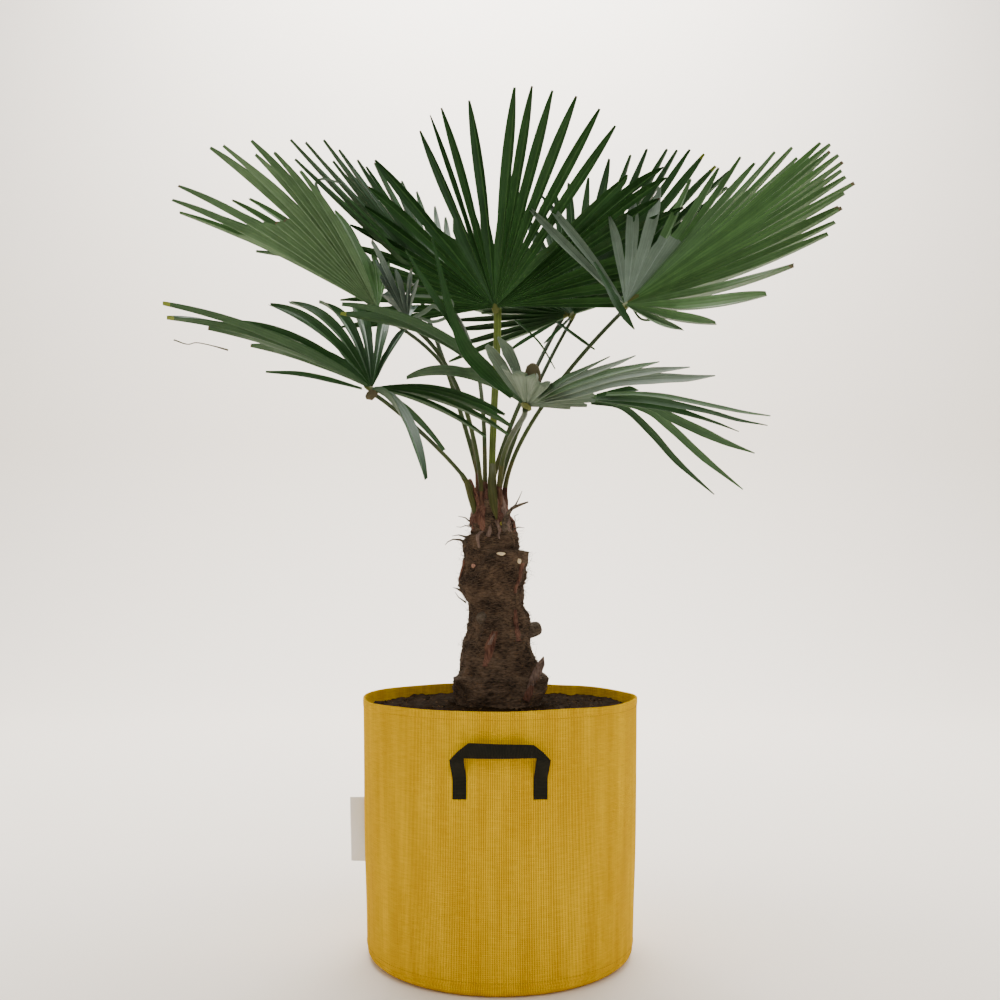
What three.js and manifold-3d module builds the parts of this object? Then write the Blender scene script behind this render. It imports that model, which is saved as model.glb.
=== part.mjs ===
// A young windmill palm (Trachycarpus fortunei) growing in a woven fabric grow bag.
// Millimetres, +Z up. The origin is the centre of the bag's flat underside, and one handle faces -Y.
// The bag, its soil, the trunk, every leaf stalk and every fan leaf is a solid of its own.
import * as THREE from 'three';
import { mergeVertices } from 'three/addons/utils/BufferGeometryUtils.js';
import Module from 'manifold-3d';

const wasm = await Module();
wasm.setup();

// ---- Driving dimensions ----

const CLEARANCE = 0.5; // between neighbouring pieces
const WELD = 1e-3; // points closer together than this are one

// The bag is a little wider at its rim than at its foot, with a soft round where the floor is sewn in.
const BAG = { height: 452, rimRadius: 250, footRadius: 237, belly: 1.5, footRound: 21, wall: 4, floor: 5 };
const BAG_FACETS = 36;
const WALL_HEIGHTS = [150, 300];

// The soil is level round the trunk and lies a little lower at the bag's wall.
const SOIL = { top: 437, sink: 4, levelRadius: 110 };

// A handle is webbing sewn flat to the bag up to sewnTo, which then arches off it as a bar.
const HANDLE = { legGap: 108, webbing: 23, thickness: 3, foot: 313, sewnTo: 340, underBar: 380, corner: 28 };
const HANDLE_STAND_OFF = 16;
const BAR_STEPS = 8;

const TAB = { low: 155, high: 269, width: 27, thickness: 1.6 };

// The trunk's rings from the soil up: height, how far the middle stands to the side, and radius.
const TRUNK_RINGS = [
  [437.5, -3, 82],
  [460, -1, 86],
  [482, 0, 85],
  [500, -2, 76],
  [520, -3, 69],
  [545, -4, 65],
  [572, -3, 60],
  [600, -6, 54],
  [623, -12, 56],
  [645, -13, 61],
  [672, -9, 63],
  [700, -6, 64],
  [718, -9, 61],
  [735, -16, 52],
  [757, -19, 48],
  [780, -19, 40],
  [812, -19, 36],
];
const TRUNK_FACETS = 20;
const TRUNK_RIPPLE = 0.03; // share of the radius

// Old leaf bases: where they stand out of the trunk, how far, how thick, and how steeply they rise.
const STUBS = [
  { height: 566, bearing: 0, length: 16, radius: 11, rise: 5 },
  { height: 508, bearing: -8, length: 15, radius: 9, rise: 35 },
  { height: 752, bearing: -60, length: 12, radius: 9, rise: 50 },
  { height: 640, bearing: 150, length: 10, radius: 12, rise: 40 },
  { height: 690, bearing: 80, length: 12, radius: 11, rise: 40 },
  { height: 590, bearing: 235, length: 11, radius: 12, rise: 40 },
];
const STUB_ROOT = 12; // how deep a stub is sunk in the trunk
const STUB_TAPER = 0.7;

// Each leaf: hub is the place where its blade meets the stalk, heading and rise point its middle finger,
// roll turns the blade round that, and left and right say how far the fan opens. reach is the length of
// the fingers, sideReach the share of it at the fan's edges, and lopside the extra on the left. fold lifts
// both halves of the blade, cup bends the fingers up, droop and sideDroop let them hang. broken lists the
// stretches of the fan, from one angle down to another, that have lost their fingers. stalkFoot is the
// bearing and distance of the stalk's foot on the trunk, stalkBend the shares of its length over which it
// sets off upright and turns in line with the blade, and stalkRadii its size at the foot and the hub.
const LEAVES = [
  // upright, in the middle
  { hub: [-10, 154, 1221], heading: 76, rise: 96, roll: 10, left: 94, right: 94,
    reach: 437, sideReach: 0.61, lopside: -0.07, fold: 0, cup: 0.05, droop: 0.04,
    sideDroop: 0.7, fingers: 26, seed: 110, broken: [[34, 24], [-42, -49]],
    stalkFoot: [75, 12], stalkBend: [0.35, 0.21], stalkRadii: [8, 8.5] },
  // left, spreading outwards
  { hub: [-241, 83, 1198], heading: 181, rise: 32, roll: 14, left: 123, right: 85,
    reach: 433, sideReach: 0.69, lopside: 0.07, fold: 32, cup: -0.11, droop: 0,
    sideDroop: 0, fingers: 26, seed: 51, broken: [[38, 18]],
    stalkFoot: [155, 24], stalkBend: [0.58, 0.25], stalkRadii: [6.5, 4.2] },
  // left, behind
  { hub: [-104, 283, 1265], heading: 160, rise: 53, roll: 11, left: 52, right: 98,
    reach: 434, sideReach: 0.94, lopside: 0.1, fold: 2, cup: 0.05, droop: 0,
    sideDroop: 0, fingers: 20, seed: 116, broken: [],
    stalkFoot: [175, 9], stalkBend: [0.3, 0.25], stalkRadii: [6, 4.5] },
  // small and young, left of the middle
  { hub: [-155, -219, 1099], heading: 206, rise: 22, roll: 17, left: 72, right: 107,
    reach: 249, sideReach: 0.79, lopside: 0.11, fold: 32, cup: 0.17, droop: 0.35,
    sideDroop: 0.2, fingers: 18, seed: 72, broken: [[40, -107]],
    stalkFoot: [234, 26], stalkBend: [0.18, 0.32], stalkRadii: [6, 4.5] },
  // low, to the left
  { hub: [-205, -294, 968], heading: 171, rise: 29, roll: 20, left: 142, right: 148,
    reach: 367, sideReach: 0.6, lopside: 0, fold: 27, cup: -0.13, droop: 0.12,
    sideDroop: 0.5, fingers: 26, seed: 17, broken: [[118, 87], [76, 41], [-78, -126]],
    stalkFoot: [200, 27.5], stalkBend: [0.1, 0.15], stalkRadii: [6, 4.2] },
  // right, behind
  { hub: [149, 179, 1213], heading: 11, rise: 59, roll: -32, left: 125, right: 78,
    reach: 401, sideReach: 0.64, lopside: -0.04, fold: 3, cup: 0.08, droop: 0.01,
    sideDroop: 0.3, fingers: 26, seed: 25, broken: [],
    stalkFoot: [53, 26], stalkBend: [0.14, 0.3], stalkRadii: [6.5, 4] },
  // right, towards the front
  { hub: [218, -157, 1142], heading: 32, rise: 42, roll: -15, left: 64, right: 126,
    reach: 400, sideReach: 0.92, lopside: -0.07, fold: 9, cup: 0.19, droop: 0.07,
    sideDroop: 0.5, fingers: 23, seed: 102, broken: [],
    stalkFoot: [358, 27], stalkBend: [0.27, 0.32], stalkRadii: [6.5, 4] },
  // low, towards the front
  { hub: [41, -362, 928], heading: -98, rise: 16, roll: 22, left: 113, right: 134,
    reach: 404, sideReach: 0.66, lopside: -0.03, fold: 24, cup: -0.12, droop: 0.14,
    sideDroop: 1.1, fingers: 24, seed: 66, broken: [[24, 0], [-14, -72]],
    stalkFoot: [310, 27], stalkBend: [0.35, 0.13], stalkRadii: [6.5, 4.5] },
  // back, right
  { hub: [185, 286, 1304], heading: 40, rise: 25, roll: -5, left: 105, right: 105,
    reach: 376, sideReach: 0.9, lopside: 0.01, fold: 1, cup: 0, droop: 0.07,
    sideDroop: 0, fingers: 26, seed: 182, broken: [],
    stalkFoot: [90, 27], stalkBend: [0.16, 0.11], stalkRadii: [6.5, 4.5] },
  // back, left
  { hub: [-185, 286, 1304], heading: 140, rise: 25, roll: 5, left: 105, right: 105,
    reach: 376, sideReach: 0.9, lopside: -0.01, fold: 1, cup: 0, droop: 0.07,
    sideDroop: 0, fingers: 26, seed: 23, broken: [],
    stalkFoot: [122, 27], stalkBend: [0.11, 0.05], stalkRadii: [6.5, 4.5] },
];

const STALK_FACETS = 6;
const STALK_STEPS = 8;

const SIDE_ANGLE = 150; // where sideReach and sideDroop count in full
const BLADE_THICKNESS = 0.0115; // share of the reach
const FINGER_WIDTH = 21;
const FINGER_SPACING = 0.35; // how unevenly the fingers are spaced
const FINGER_LENGTHS = 0.08; // how unevenly long they are
const FINGER_GAP = 0.92; // share of the room between its neighbours that a finger may take
const SPLIT = 0.42; // share of the reach at which neighbouring fingers part
const SPLIT_SPREAD = 0.22;
const DEEPEST_SPLIT = 0.08;
// Along the free part of a finger: how far out, and the share of the full width there.
const FINGER_STATIONS = [
  [0.4, 1],
  [0.75, 0.85],
  [1, 0.3],
];
const CUT_BACK = 0.08; // a finger that would touch something is shortened in steps of this share
const SHORTEST = 0.55; // and left out when it would be shorter than this

// ---- Helpers ----

const rad = THREE.MathUtils.degToRad;
const { lerp, smoothstep } = THREE.MathUtils;

// A repeatable number between -0.5 and 0.5 for each whole number.
function seeded(n) {
  const v = Math.sin(n * 12.9898 + 4.1414) * 43758.5453;
  return v - Math.floor(v) - 0.5;
}

function onBearing(bearing, distance) {
  return new THREE.Vector3(Math.cos(rad(bearing)) * distance, Math.sin(rad(bearing)) * distance, 0);
}

function eachVertex(geometry, move) {
  const positions = geometry.getAttribute('position');
  const vertex = new THREE.Vector3();
  for (let i = 0; i < positions.count; i += 1) {
    move(vertex.fromBufferAttribute(positions, i));
    positions.setXYZ(i, vertex.x, vertex.y, vertex.z);
  }
  return geometry;
}

function solidOf(geometry) {
  const bare = new THREE.BufferGeometry();
  bare.setAttribute('position', geometry.getAttribute('position').clone());
  bare.setIndex(geometry.index.clone());
  const merged = mergeVertices(bare, WELD);
  return new wasm.Manifold(
    new wasm.Mesh({
      numProp: 3,
      vertProperties: new Float32Array(merged.getAttribute('position').array),
      triVerts: new Uint32Array(merged.index.array),
    }),
  );
}

function geometryOf(solid) {
  const { vertProperties, triVerts } = solid.getMesh();
  return new THREE.BufferGeometry()
    .setAttribute('position', new THREE.BufferAttribute(vertProperties, 3))
    .setIndex(new THREE.BufferAttribute(triVerts, 1));
}

function material(color, roughness) {
  return new THREE.MeshStandardMaterial({ color, roughness, metalness: 0 });
}

const palm = new THREE.Group();

function addPiece(name, geometry, look) {
  geometry.computeVertexNormals();
  const mesh = new THREE.Mesh(geometry, look);
  mesh.name = name;
  palm.add(mesh);
  return mesh;
}

// ---- Grow bag and soil ----

function bagRadius(height) {
  const share = height / BAG.height;
  return lerp(BAG.footRadius, BAG.rimRadius, share) + BAG.belly * Math.sin(Math.PI * share);
}

// Half of an upright section through a round vessel: its floor, the round at its foot and its wall.
function vesselSection(inset, floor, top) {
  const round = BAG.footRound - inset;
  const levelRadius = BAG.footRadius - BAG.footRound;
  const points = [new THREE.Vector2(0, floor), new THREE.Vector2(levelRadius, floor)];
  for (const turn of [30, 60]) {
    const out = round * Math.sin(rad(turn));
    const up = round * (1 - Math.cos(rad(turn)));
    points.push(new THREE.Vector2(levelRadius + out, floor + up));
  }
  for (const height of [floor + round, ...WALL_HEIGHTS, top]) {
    points.push(new THREE.Vector2(bagRadius(height) - inset, height));
  }
  return points;
}

function turned(section) {
  return new THREE.LatheGeometry(section, BAG_FACETS).rotateX(Math.PI / 2);
}

function bagGeometry() {
  const outside = vesselSection(0, 0, BAG.height);
  const inside = vesselSection(BAG.wall, BAG.floor, BAG.height);
  return turned([...outside, ...inside.reverse()]);
}

function soilGeometry() {
  const section = vesselSection(BAG.wall + CLEARANCE, BAG.floor + CLEARANCE, SOIL.top - SOIL.sink);
  section.push(new THREE.Vector2(SOIL.levelRadius, SOIL.top), new THREE.Vector2(0, SOIL.top));
  return turned(section);
}

// ---- Handles and side tab ----

// The arch of webbing, laid out flat: where its inner and its outer edge are, from one foot to the other.
function handleEdges() {
  const { legGap, webbing, foot, sewnTo, underBar, corner } = HANDLE;
  const inner = legGap / 2;
  const outer = inner + webbing;
  const top = underBar + webbing;
  const leg = [
    { inner: [inner, foot], outer: [outer, foot] },
    { inner: [inner, sewnTo], outer: [outer, sewnTo] },
    { inner: [inner, (sewnTo + underBar) / 2], outer: [outer, (sewnTo + top - corner) / 2] },
    { inner: [inner, underBar], outer: [outer, top - corner] },
  ];
  const bar = [];
  for (let i = 0; i <= BAR_STEPS; i += 1) {
    const aside = 1 - (2 * i) / BAR_STEPS;
    bar.push({ inner: [inner * aside, underBar], outer: [(outer - corner) * aside, top] });
  }
  const mirrored = ([x, height]) => [-x, height];
  const farLeg = leg.map((edge) => ({ inner: mirrored(edge.inner), outer: mirrored(edge.outer) })).reverse();
  return [...leg, ...bar, ...farLeg];
}

// Webbing wrapped round the bag: its legs are sewn flat and its bar stands off.
function handleGeometry() {
  const { thickness, sewnTo, underBar } = HANDLE;
  const onBag = ([x, height], depth) => {
    const lift = HANDLE_STAND_OFF * smoothstep(height, sewnTo, underBar);
    const radius = bagRadius(height) + CLEARANCE + lift + depth;
    const turn = x / bagRadius(height);
    return new THREE.Vector3(radius * Math.sin(turn), -radius * Math.cos(turn), height);
  };
  const rings = handleEdges().map((edge) => [
    onBag(edge.inner, 0), onBag(edge.outer, 0), onBag(edge.outer, thickness), onBag(edge.inner, thickness),
  ]);
  const corners = [];
  const addTriangle = (a, b, c) => {
    if (!a.equals(b) && !b.equals(c) && !c.equals(a)) corners.push(a, b, c);
  };
  const addQuad = (a, b, c, d) => {
    addTriangle(a, b, c);
    addTriangle(a, c, d);
  };
  for (let i = 1; i < rings.length; i += 1) {
    for (let k = 0; k < 4; k += 1) {
      const next = (k + 1) % 4;
      addQuad(rings[i][k], rings[i][next], rings[i - 1][next], rings[i - 1][k]);
    }
  }
  addQuad(...rings[0]);
  addQuad(...rings.at(-1).toReversed());
  return mergeVertices(new THREE.BufferGeometry().setFromPoints(corners), WELD);
}

function tabGeometry() {
  const { low, high, width, thickness } = TAB;
  const edge = (height) => -bagRadius(height) - CLEARANCE;
  const outline = new THREE.Shape([
    new THREE.Vector2(edge(low), low),
    new THREE.Vector2(edge(high), high),
    new THREE.Vector2(edge(high) - width, high),
    new THREE.Vector2(edge(high) - width, low),
  ]);
  return new THREE.ExtrudeGeometry(outline, { depth: thickness, bevelEnabled: false })
    .rotateX(Math.PI / 2)
    .translate(0, thickness / 2, 0);
}

// ---- Trunk ----

function trunkCore() {
  const steps = TRUNK_RINGS.length - 1;
  const drum = new THREE.CylinderGeometry(1, 1, steps, TRUNK_FACETS, steps).rotateX(Math.PI / 2);
  return eachVertex(drum, (v) => {
    const [height, aside, radius] = TRUNK_RINGS[Math.round(v.z + steps / 2)];
    const bearing = Math.atan2(v.y, v.x);
    const ripple = Math.sin(3 * bearing + height / 23) + Math.sin(5 * bearing - height / 17);
    const girth = Math.hypot(v.x, v.y) * radius * (1 + TRUNK_RIPPLE * ripple);
    v.set(aside + girth * Math.cos(bearing), girth * Math.sin(bearing), height);
  });
}

function trunkAt(height) {
  const above = TRUNK_RINGS.findIndex((ring) => ring[0] > height);
  const [low, high] = [TRUNK_RINGS[above - 1], TRUNK_RINGS[above]];
  const share = (height - low[0]) / (high[0] - low[0]);
  return { aside: lerp(low[1], high[1], share), radius: lerp(low[2], high[2], share) };
}

function stubGeometry({ height, bearing, length, radius, rise }) {
  const trunk = trunkAt(height);
  const root = onBearing(bearing, trunk.radius - STUB_ROOT);
  const whole = STUB_ROOT + length;
  return new THREE.CylinderGeometry(radius * STUB_TAPER, radius, whole, 8)
    .translate(0, whole / 2, 0)
    .rotateZ(-Math.PI / 2)
    .rotateY(rad(-rise))
    .rotateZ(rad(bearing))
    .translate(root.x + trunk.aside, root.y, height);
}

function trunkSolid() {
  return STUBS.reduce((whole, stub) => whole.add(solidOf(stubGeometry(stub))), solidOf(trunkCore()));
}

// ---- Leaf stalks ----

// The blade's own directions: along its middle finger, to its left, and up from its upper side.
function bladeAxes({ heading, rise, roll }) {
  const along = onBearing(heading, Math.cos(rad(rise))).setZ(Math.sin(rad(rise)));
  const upright = onBearing(heading, -Math.sin(rad(rise))).setZ(Math.cos(rad(rise)));
  const up = upright.applyAxisAngle(along, -rad(roll));
  return { along, up, left: up.clone().cross(along) };
}

function bladeHalfThickness(leaf) {
  return (leaf.reach * BLADE_THICKNESS) / 2 / Math.cos(rad(leaf.fold));
}

// A stalk leaves the trunk's flat top upright and ends under the hub of its blade.
function stalkCurve(leaf) {
  const { along, up } = bladeAxes(leaf);
  const [topHeight, topAside] = TRUNK_RINGS[TRUNK_RINGS.length - 1];
  const foot = onBearing(...leaf.stalkFoot).add(new THREE.Vector3(topAside, 0, topHeight + CLEARANCE));
  const drop = bladeHalfThickness(leaf) + CLEARANCE + leaf.stalkRadii[1];
  const end = new THREE.Vector3(...leaf.hub).addScaledVector(up, -drop);
  const length = foot.distanceTo(end);
  const [upright, arriving] = leaf.stalkBend;
  return new THREE.CubicBezierCurve3(
    foot,
    foot.clone().add(new THREE.Vector3(0, 0, length * upright)),
    end.clone().addScaledVector(along, -length * arriving),
    end,
  );
}

function stalkGeometry(leaf) {
  const curve = stalkCurve(leaf);
  const { normals, binormals } = curve.computeFrenetFrames(STALK_STEPS);
  const rod = new THREE.CylinderGeometry(1, 1, STALK_STEPS, STALK_FACETS, STALK_STEPS);
  return eachVertex(rod, (v) => {
    const step = Math.round(v.y + STALK_STEPS / 2);
    const radius = lerp(...leaf.stalkRadii, step / STALK_STEPS);
    const across = normals[step].clone().multiplyScalar(v.x * radius);
    const round = binormals[step].clone().multiplyScalar(-v.z * radius);
    v.copy(curve.getPointAt(step / STALK_STEPS)).add(across).add(round);
  });
}

// ---- Fan leaves ----

function reachAt(leaf, angle) {
  const side = Math.abs(angle) / SIDE_ANGLE;
  return leaf.reach * (1 - (1 - leaf.sideReach) * side * side) * (1 + leaf.lopside * Math.sin(rad(angle)));
}

// Every finger's angle and reach, and the places between them where the blade splits.
function fanOf(leaf) {
  const spacing = (leaf.left + leaf.right) / leaf.fingers;
  const fingers = [];
  for (let i = 0; i < leaf.fingers; i += 1) {
    const uneven = FINGER_SPACING * seeded(leaf.seed * 31 + i);
    const angle = leaf.left - spacing * (i + 0.5 + uneven);
    const length = 1 + FINGER_LENGTHS * seeded(leaf.seed * 57 + i + 100);
    fingers.push({ angle, reach: reachAt(leaf, angle) * length });
  }
  const splits = [];
  for (let i = 0; i <= leaf.fingers; i += 1) {
    const before = i > 0 ? fingers[i - 1].angle : fingers[0].angle + spacing;
    const after = i < leaf.fingers ? fingers[i].angle : before - spacing;
    const angle = (before + after) / 2;
    splits.push({ angle, share: SPLIT + SPLIT_SPREAD * seeded(leaf.seed * 91 + i) });
  }
  return { fingers, splits };
}

// A point of the blade, out from the hub along one angle of the fan by a share of the reach there.
function bladePoint(leaf, angle, reach, share) {
  const { along, left, up } = bladeAxes(leaf);
  const turn = rad(angle);
  const radius = reach * share;
  const bend = radius * share;
  const lift = radius * Math.abs(Math.sin(turn)) * Math.sin(rad(leaf.fold)) + leaf.cup * bend;
  const hang = leaf.droop * bend * (1 + (leaf.sideDroop * Math.abs(angle)) / SIDE_ANGLE);
  return new THREE.Vector3(...leaf.hub)
    .addScaledVector(along, radius * Math.cos(turn))
    .addScaledVector(left, radius * Math.sin(turn) * Math.cos(rad(leaf.fold)))
    .addScaledVector(up, lift)
    .add(new THREE.Vector3(0, 0, -hang));
}

// A thin plate is made of pairs of points, one on either side of its middle surface. Its skins are
// named anticlockwise as seen from its upper side, and its walls with the plate on their left.
class Plate {
  constructor(up, halfThickness) {
    this.rise = up.clone().multiplyScalar(halfThickness);
    this.positions = [];
    this.triangles = [];
  }

  pair(middle) {
    const under = middle.clone().sub(this.rise);
    const over = middle.clone().add(this.rise);
    this.positions.push(...under, ...over);
    return this.positions.length / 6 - 1;
  }

  skin(a, b, c) {
    this.triangles.push(2 * a + 1, 2 * b + 1, 2 * c + 1, 2 * a, 2 * c, 2 * b);
  }

  wall(a, b) {
    this.triangles.push(2 * a, 2 * b, 2 * b + 1, 2 * a, 2 * b + 1, 2 * a + 1);
  }

  // One finger, from the pair of points at either side of its root to its tip.
  finger(leftRoot, rightRoot, sides) {
    let [left, right] = [leftRoot, rightRoot];
    for (const [leftPoint, rightPoint] of sides) {
      const [nextLeft, nextRight] = [this.pair(leftPoint), this.pair(rightPoint)];
      this.skin(left, right, nextRight);
      this.skin(left, nextRight, nextLeft);
      this.wall(right, nextRight);
      this.wall(nextLeft, left);
      [left, right] = [nextLeft, nextRight];
    }
    this.wall(right, left);
  }

  geometry() {
    return new THREE.BufferGeometry()
      .setAttribute('position', new THREE.Float32BufferAttribute(this.positions, 3))
      .setIndex(this.triangles);
  }
}

function splitPoint(leaf, split) {
  return bladePoint(leaf, split.angle, reachAt(leaf, split.angle), split.share);
}

// The left and right points along finger i, cut back to a share of its reach and grown by a margin.
function fingerSides(leaf, fan, i, share, margin) {
  const { angle, reach } = fan.fingers[i];
  const [leftSplit, rightSplit] = [fan.splits[i], fan.splits[i + 1]];
  const root = Math.max(leftSplit.share, rightSplit.share);
  return FINGER_STATIONS.map(([out, width]) => {
    const here = lerp(root, share, out);
    const half = THREE.MathUtils.radToDeg((FINGER_WIDTH * width) / 2 / (reach * here));
    const extra = THREE.MathUtils.radToDeg(margin / (reach * here));
    const toLeft = Math.min(half, FINGER_GAP * (leftSplit.angle - angle)) + extra;
    const toRight = Math.min(half, FINGER_GAP * (angle - rightSplit.angle)) + extra;
    return [bladePoint(leaf, angle + toLeft, reach, here), bladePoint(leaf, angle - toRight, reach, here)];
  });
}

// The room that one finger needs, as a solid a little larger than the finger.
function fingerRoom(leaf, fan, i, share) {
  const plate = new Plate(bladeAxes(leaf).up, bladeHalfThickness(leaf) + CLEARANCE);
  const left = plate.pair(splitPoint(leaf, fan.splits[i]));
  const right = plate.pair(splitPoint(leaf, fan.splits[i + 1]));
  plate.wall(left, right);
  plate.finger(left, right, fingerSides(leaf, fan, i, share, CLEARANCE));
  return solidOf(plate.geometry());
}

// The room that the whole part of the blade needs between the hub and two neighbouring splits.
function webRoom(leaf, fan, i) {
  const plate = new Plate(bladeAxes(leaf).up, bladeHalfThickness(leaf) + CLEARANCE);
  const hub = plate.pair(new THREE.Vector3(...leaf.hub));
  const left = plate.pair(splitPoint(leaf, fan.splits[i]));
  const right = plate.pair(splitPoint(leaf, fan.splits[i + 1]));
  plate.skin(hub, right, left);
  plate.wall(hub, right);
  plate.wall(right, left);
  plate.wall(left, hub);
  return solidOf(plate.geometry());
}

function boxesMeet(a, b) {
  return [0, 1, 2].every((k) => a.min[k] <= b.max[k] && b.min[k] <= a.max[k]);
}

function touches(solid, others) {
  const box = solid.boundingBox();
  return others.some((other) => boxesMeet(box, other.boundingBox()) && !solid.intersect(other).isEmpty());
}

// The share of its reach that a finger keeps so that it clears the other solids, or 0 to leave it out.
function freeShare(leaf, fan, i, others) {
  for (let share = 1; share >= SHORTEST; share -= CUT_BACK) {
    if (!touches(fingerRoom(leaf, fan, i, share), others)) {
      return share;
    }
  }
  return 0;
}

// Where another piece is in the way, the blade is split deeper, down to its hub at the most.
function splitDeeper(leaf, fan, others) {
  let i = 0;
  while (i < leaf.fingers) {
    const sides = [fan.splits[i], fan.splits[i + 1]];
    const canDeepen = sides.some((split) => split.share > DEEPEST_SPLIT);
    if (canDeepen && touches(webRoom(leaf, fan, i), others)) {
      for (const split of sides) {
        split.share = Math.max(DEEPEST_SPLIT, split.share - CUT_BACK);
      }
      i = Math.max(0, i - 1); // the part before it has changed too
    } else {
      i += 1;
    }
  }
}

function isBroken(leaf, angle) {
  return leaf.broken.some(([from, to]) => angle <= from && angle >= to);
}

function bladeGeometry(leaf, others) {
  const fan = fanOf(leaf);
  splitDeeper(leaf, fan, others);
  const plate = new Plate(bladeAxes(leaf).up, bladeHalfThickness(leaf));
  const hub = plate.pair(new THREE.Vector3(...leaf.hub));
  const roots = fan.splits.map((split) => plate.pair(splitPoint(leaf, split)));
  for (let i = 0; i < leaf.fingers; i += 1) {
    const [left, right] = [roots[i], roots[i + 1]];
    plate.skin(hub, right, left);
    const share = isBroken(leaf, fan.fingers[i].angle) ? 0 : freeShare(leaf, fan, i, others);
    if (share > 0) {
      plate.finger(left, right, fingerSides(leaf, fan, i, share, 0));
    } else {
      plate.wall(right, left);
    }
  }
  plate.wall(hub, roots[leaf.fingers]);
  plate.wall(roots[0], hub);
  return plate.geometry();
}

// ---- The whole plant in its bag ----

const WEBBING = material(0x2b2a22, 0.85);
const STALK_GREEN = material(0x74803c, 0.55);
const LEAF_GREEN = material(0x3f5d34, 0.6);

addPiece('grow_bag', bagGeometry(), material(0xdcb11c, 0.8));
addPiece('soil', soilGeometry(), material(0x2c2112, 0.95));
addPiece('handle_front', handleGeometry(), WEBBING);
addPiece('handle_back', handleGeometry(), WEBBING).rotation.z = Math.PI;
addPiece('side_tab', tabGeometry(), material(0xf2f0ea, 0.7));

const trunk = trunkSolid();
addPiece('trunk', geometryOf(trunk), material(0x3e3126, 0.9));

const placed = [trunk];
for (const [i, leaf] of LEAVES.entries()) {
  const stalk = stalkGeometry(leaf);
  placed.push(solidOf(stalk));
  addPiece(`stalk_${String(i + 1).padStart(2, '0')}`, stalk, STALK_GREEN);
}
for (const [i, leaf] of LEAVES.entries()) {
  const frond = bladeGeometry(leaf, placed);
  placed.push(solidOf(frond));
  addPiece(`frond_${String(i + 1).padStart(2, '0')}`, frond, LEAF_GREEN);
}

export default palm;
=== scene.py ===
import math
import bmesh
import bpy
import numpy as np
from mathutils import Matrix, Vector
from mathutils.bvhtree import BVHTree


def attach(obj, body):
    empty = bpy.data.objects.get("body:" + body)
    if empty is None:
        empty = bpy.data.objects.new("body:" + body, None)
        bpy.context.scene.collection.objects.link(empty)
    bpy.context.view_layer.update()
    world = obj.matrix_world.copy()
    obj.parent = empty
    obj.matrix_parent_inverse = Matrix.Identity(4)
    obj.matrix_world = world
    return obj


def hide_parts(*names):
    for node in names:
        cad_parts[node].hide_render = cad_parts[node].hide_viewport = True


# A young windmill palm (Trachycarpus fortunei) in a yellow woven grow bag, in metres, +Z up.
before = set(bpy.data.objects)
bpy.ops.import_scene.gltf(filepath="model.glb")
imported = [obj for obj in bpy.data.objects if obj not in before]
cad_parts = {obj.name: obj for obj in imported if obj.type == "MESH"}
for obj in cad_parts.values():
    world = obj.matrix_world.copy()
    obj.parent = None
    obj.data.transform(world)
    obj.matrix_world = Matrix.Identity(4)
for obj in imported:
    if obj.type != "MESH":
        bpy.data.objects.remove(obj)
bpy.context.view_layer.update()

# ---- Camera, floor and light ----
# The bag stands on a plain pale floor that sweeps up behind it, in even studio light. The camera is a
# little higher than the bag and looks slightly up at the crown.


def srgb(red, green, blue):
    """A colour given as 0 to 255 on screen, in linear light: each part to the power 2.4 past its toe."""
    parts = np.array([red, green, blue]) / 255
    linear = np.where(parts <= 0.04045, parts / 12.92, ((parts + 0.055) / 1.055) ** 2.4)
    return (*(float(part) for part in linear), 1.0)


def new_material(name, roughness=0.7, specular=0.3):
    """A new Principled material with its node tree and its Principled node."""
    made = bpy.data.materials.new(name)
    made.use_nodes = True
    principled = made.node_tree.nodes["Principled BSDF"]
    principled.inputs["Roughness"].default_value = roughness
    principled.inputs["Specular IOR Level"].default_value = specular
    return made, made.node_tree, principled


def add_node(tree, kind, *inputs, out=0, **settings):
    """Adds a shader node. Each input is a plain value, or another node's output to link. Returns an output."""
    made = tree.nodes.new("ShaderNode" + kind)
    for key, value in settings.items():
        setattr(made, key, value)
    for socket, value in zip(made.inputs, inputs):
        if isinstance(value, bpy.types.NodeSocket):
            tree.links.new(value, socket)
        elif value is not None:
            socket.default_value = value
    return made.outputs[out]


def put_mesh(name, points, faces, materials, slots=None, uv=None, smooth=True):
    """A mesh object, its closed parts turned outwards. `faces` is a list of arrays with one row of corners a
    face, and `slots` gives a material a face."""
    mesh = bpy.data.meshes.new(name)
    corners = np.concatenate([part.ravel() for part in faces]).astype(np.int32)
    counts = np.concatenate([np.full(len(part), part.shape[1]) for part in faces])
    starts = np.concatenate([[0], np.cumsum(counts)[:-1]]).astype(np.int32)
    mesh.vertices.add(len(points))
    mesh.vertices.foreach_set("co", np.asarray(points, np.float32).ravel())
    mesh.loops.add(len(corners))
    mesh.loops.foreach_set("vertex_index", corners)
    mesh.polygons.add(len(counts))
    mesh.polygons.foreach_set("loop_start", starts)
    mesh.polygons.foreach_set("use_smooth", np.full(len(counts), smooth))
    for made in materials:
        mesh.materials.append(made)
    if slots is not None:
        mesh.polygons.foreach_set("material_index", np.asarray(slots, np.int32))
    if uv is not None:
        layer = mesh.uv_layers.new(name="UVMap")
        layer.data.foreach_set("uv", np.asarray(uv, np.float32)[corners].ravel())
    mesh.update(calc_edges=True)
    shell = bmesh.new()
    shell.from_mesh(mesh)
    bmesh.ops.recalc_face_normals(shell, faces=shell.faces)
    shell.to_mesh(mesh)
    shell.free()
    piece = bpy.data.objects.new(name, mesh)
    bpy.context.scene.collection.objects.link(piece)
    return piece


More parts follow.
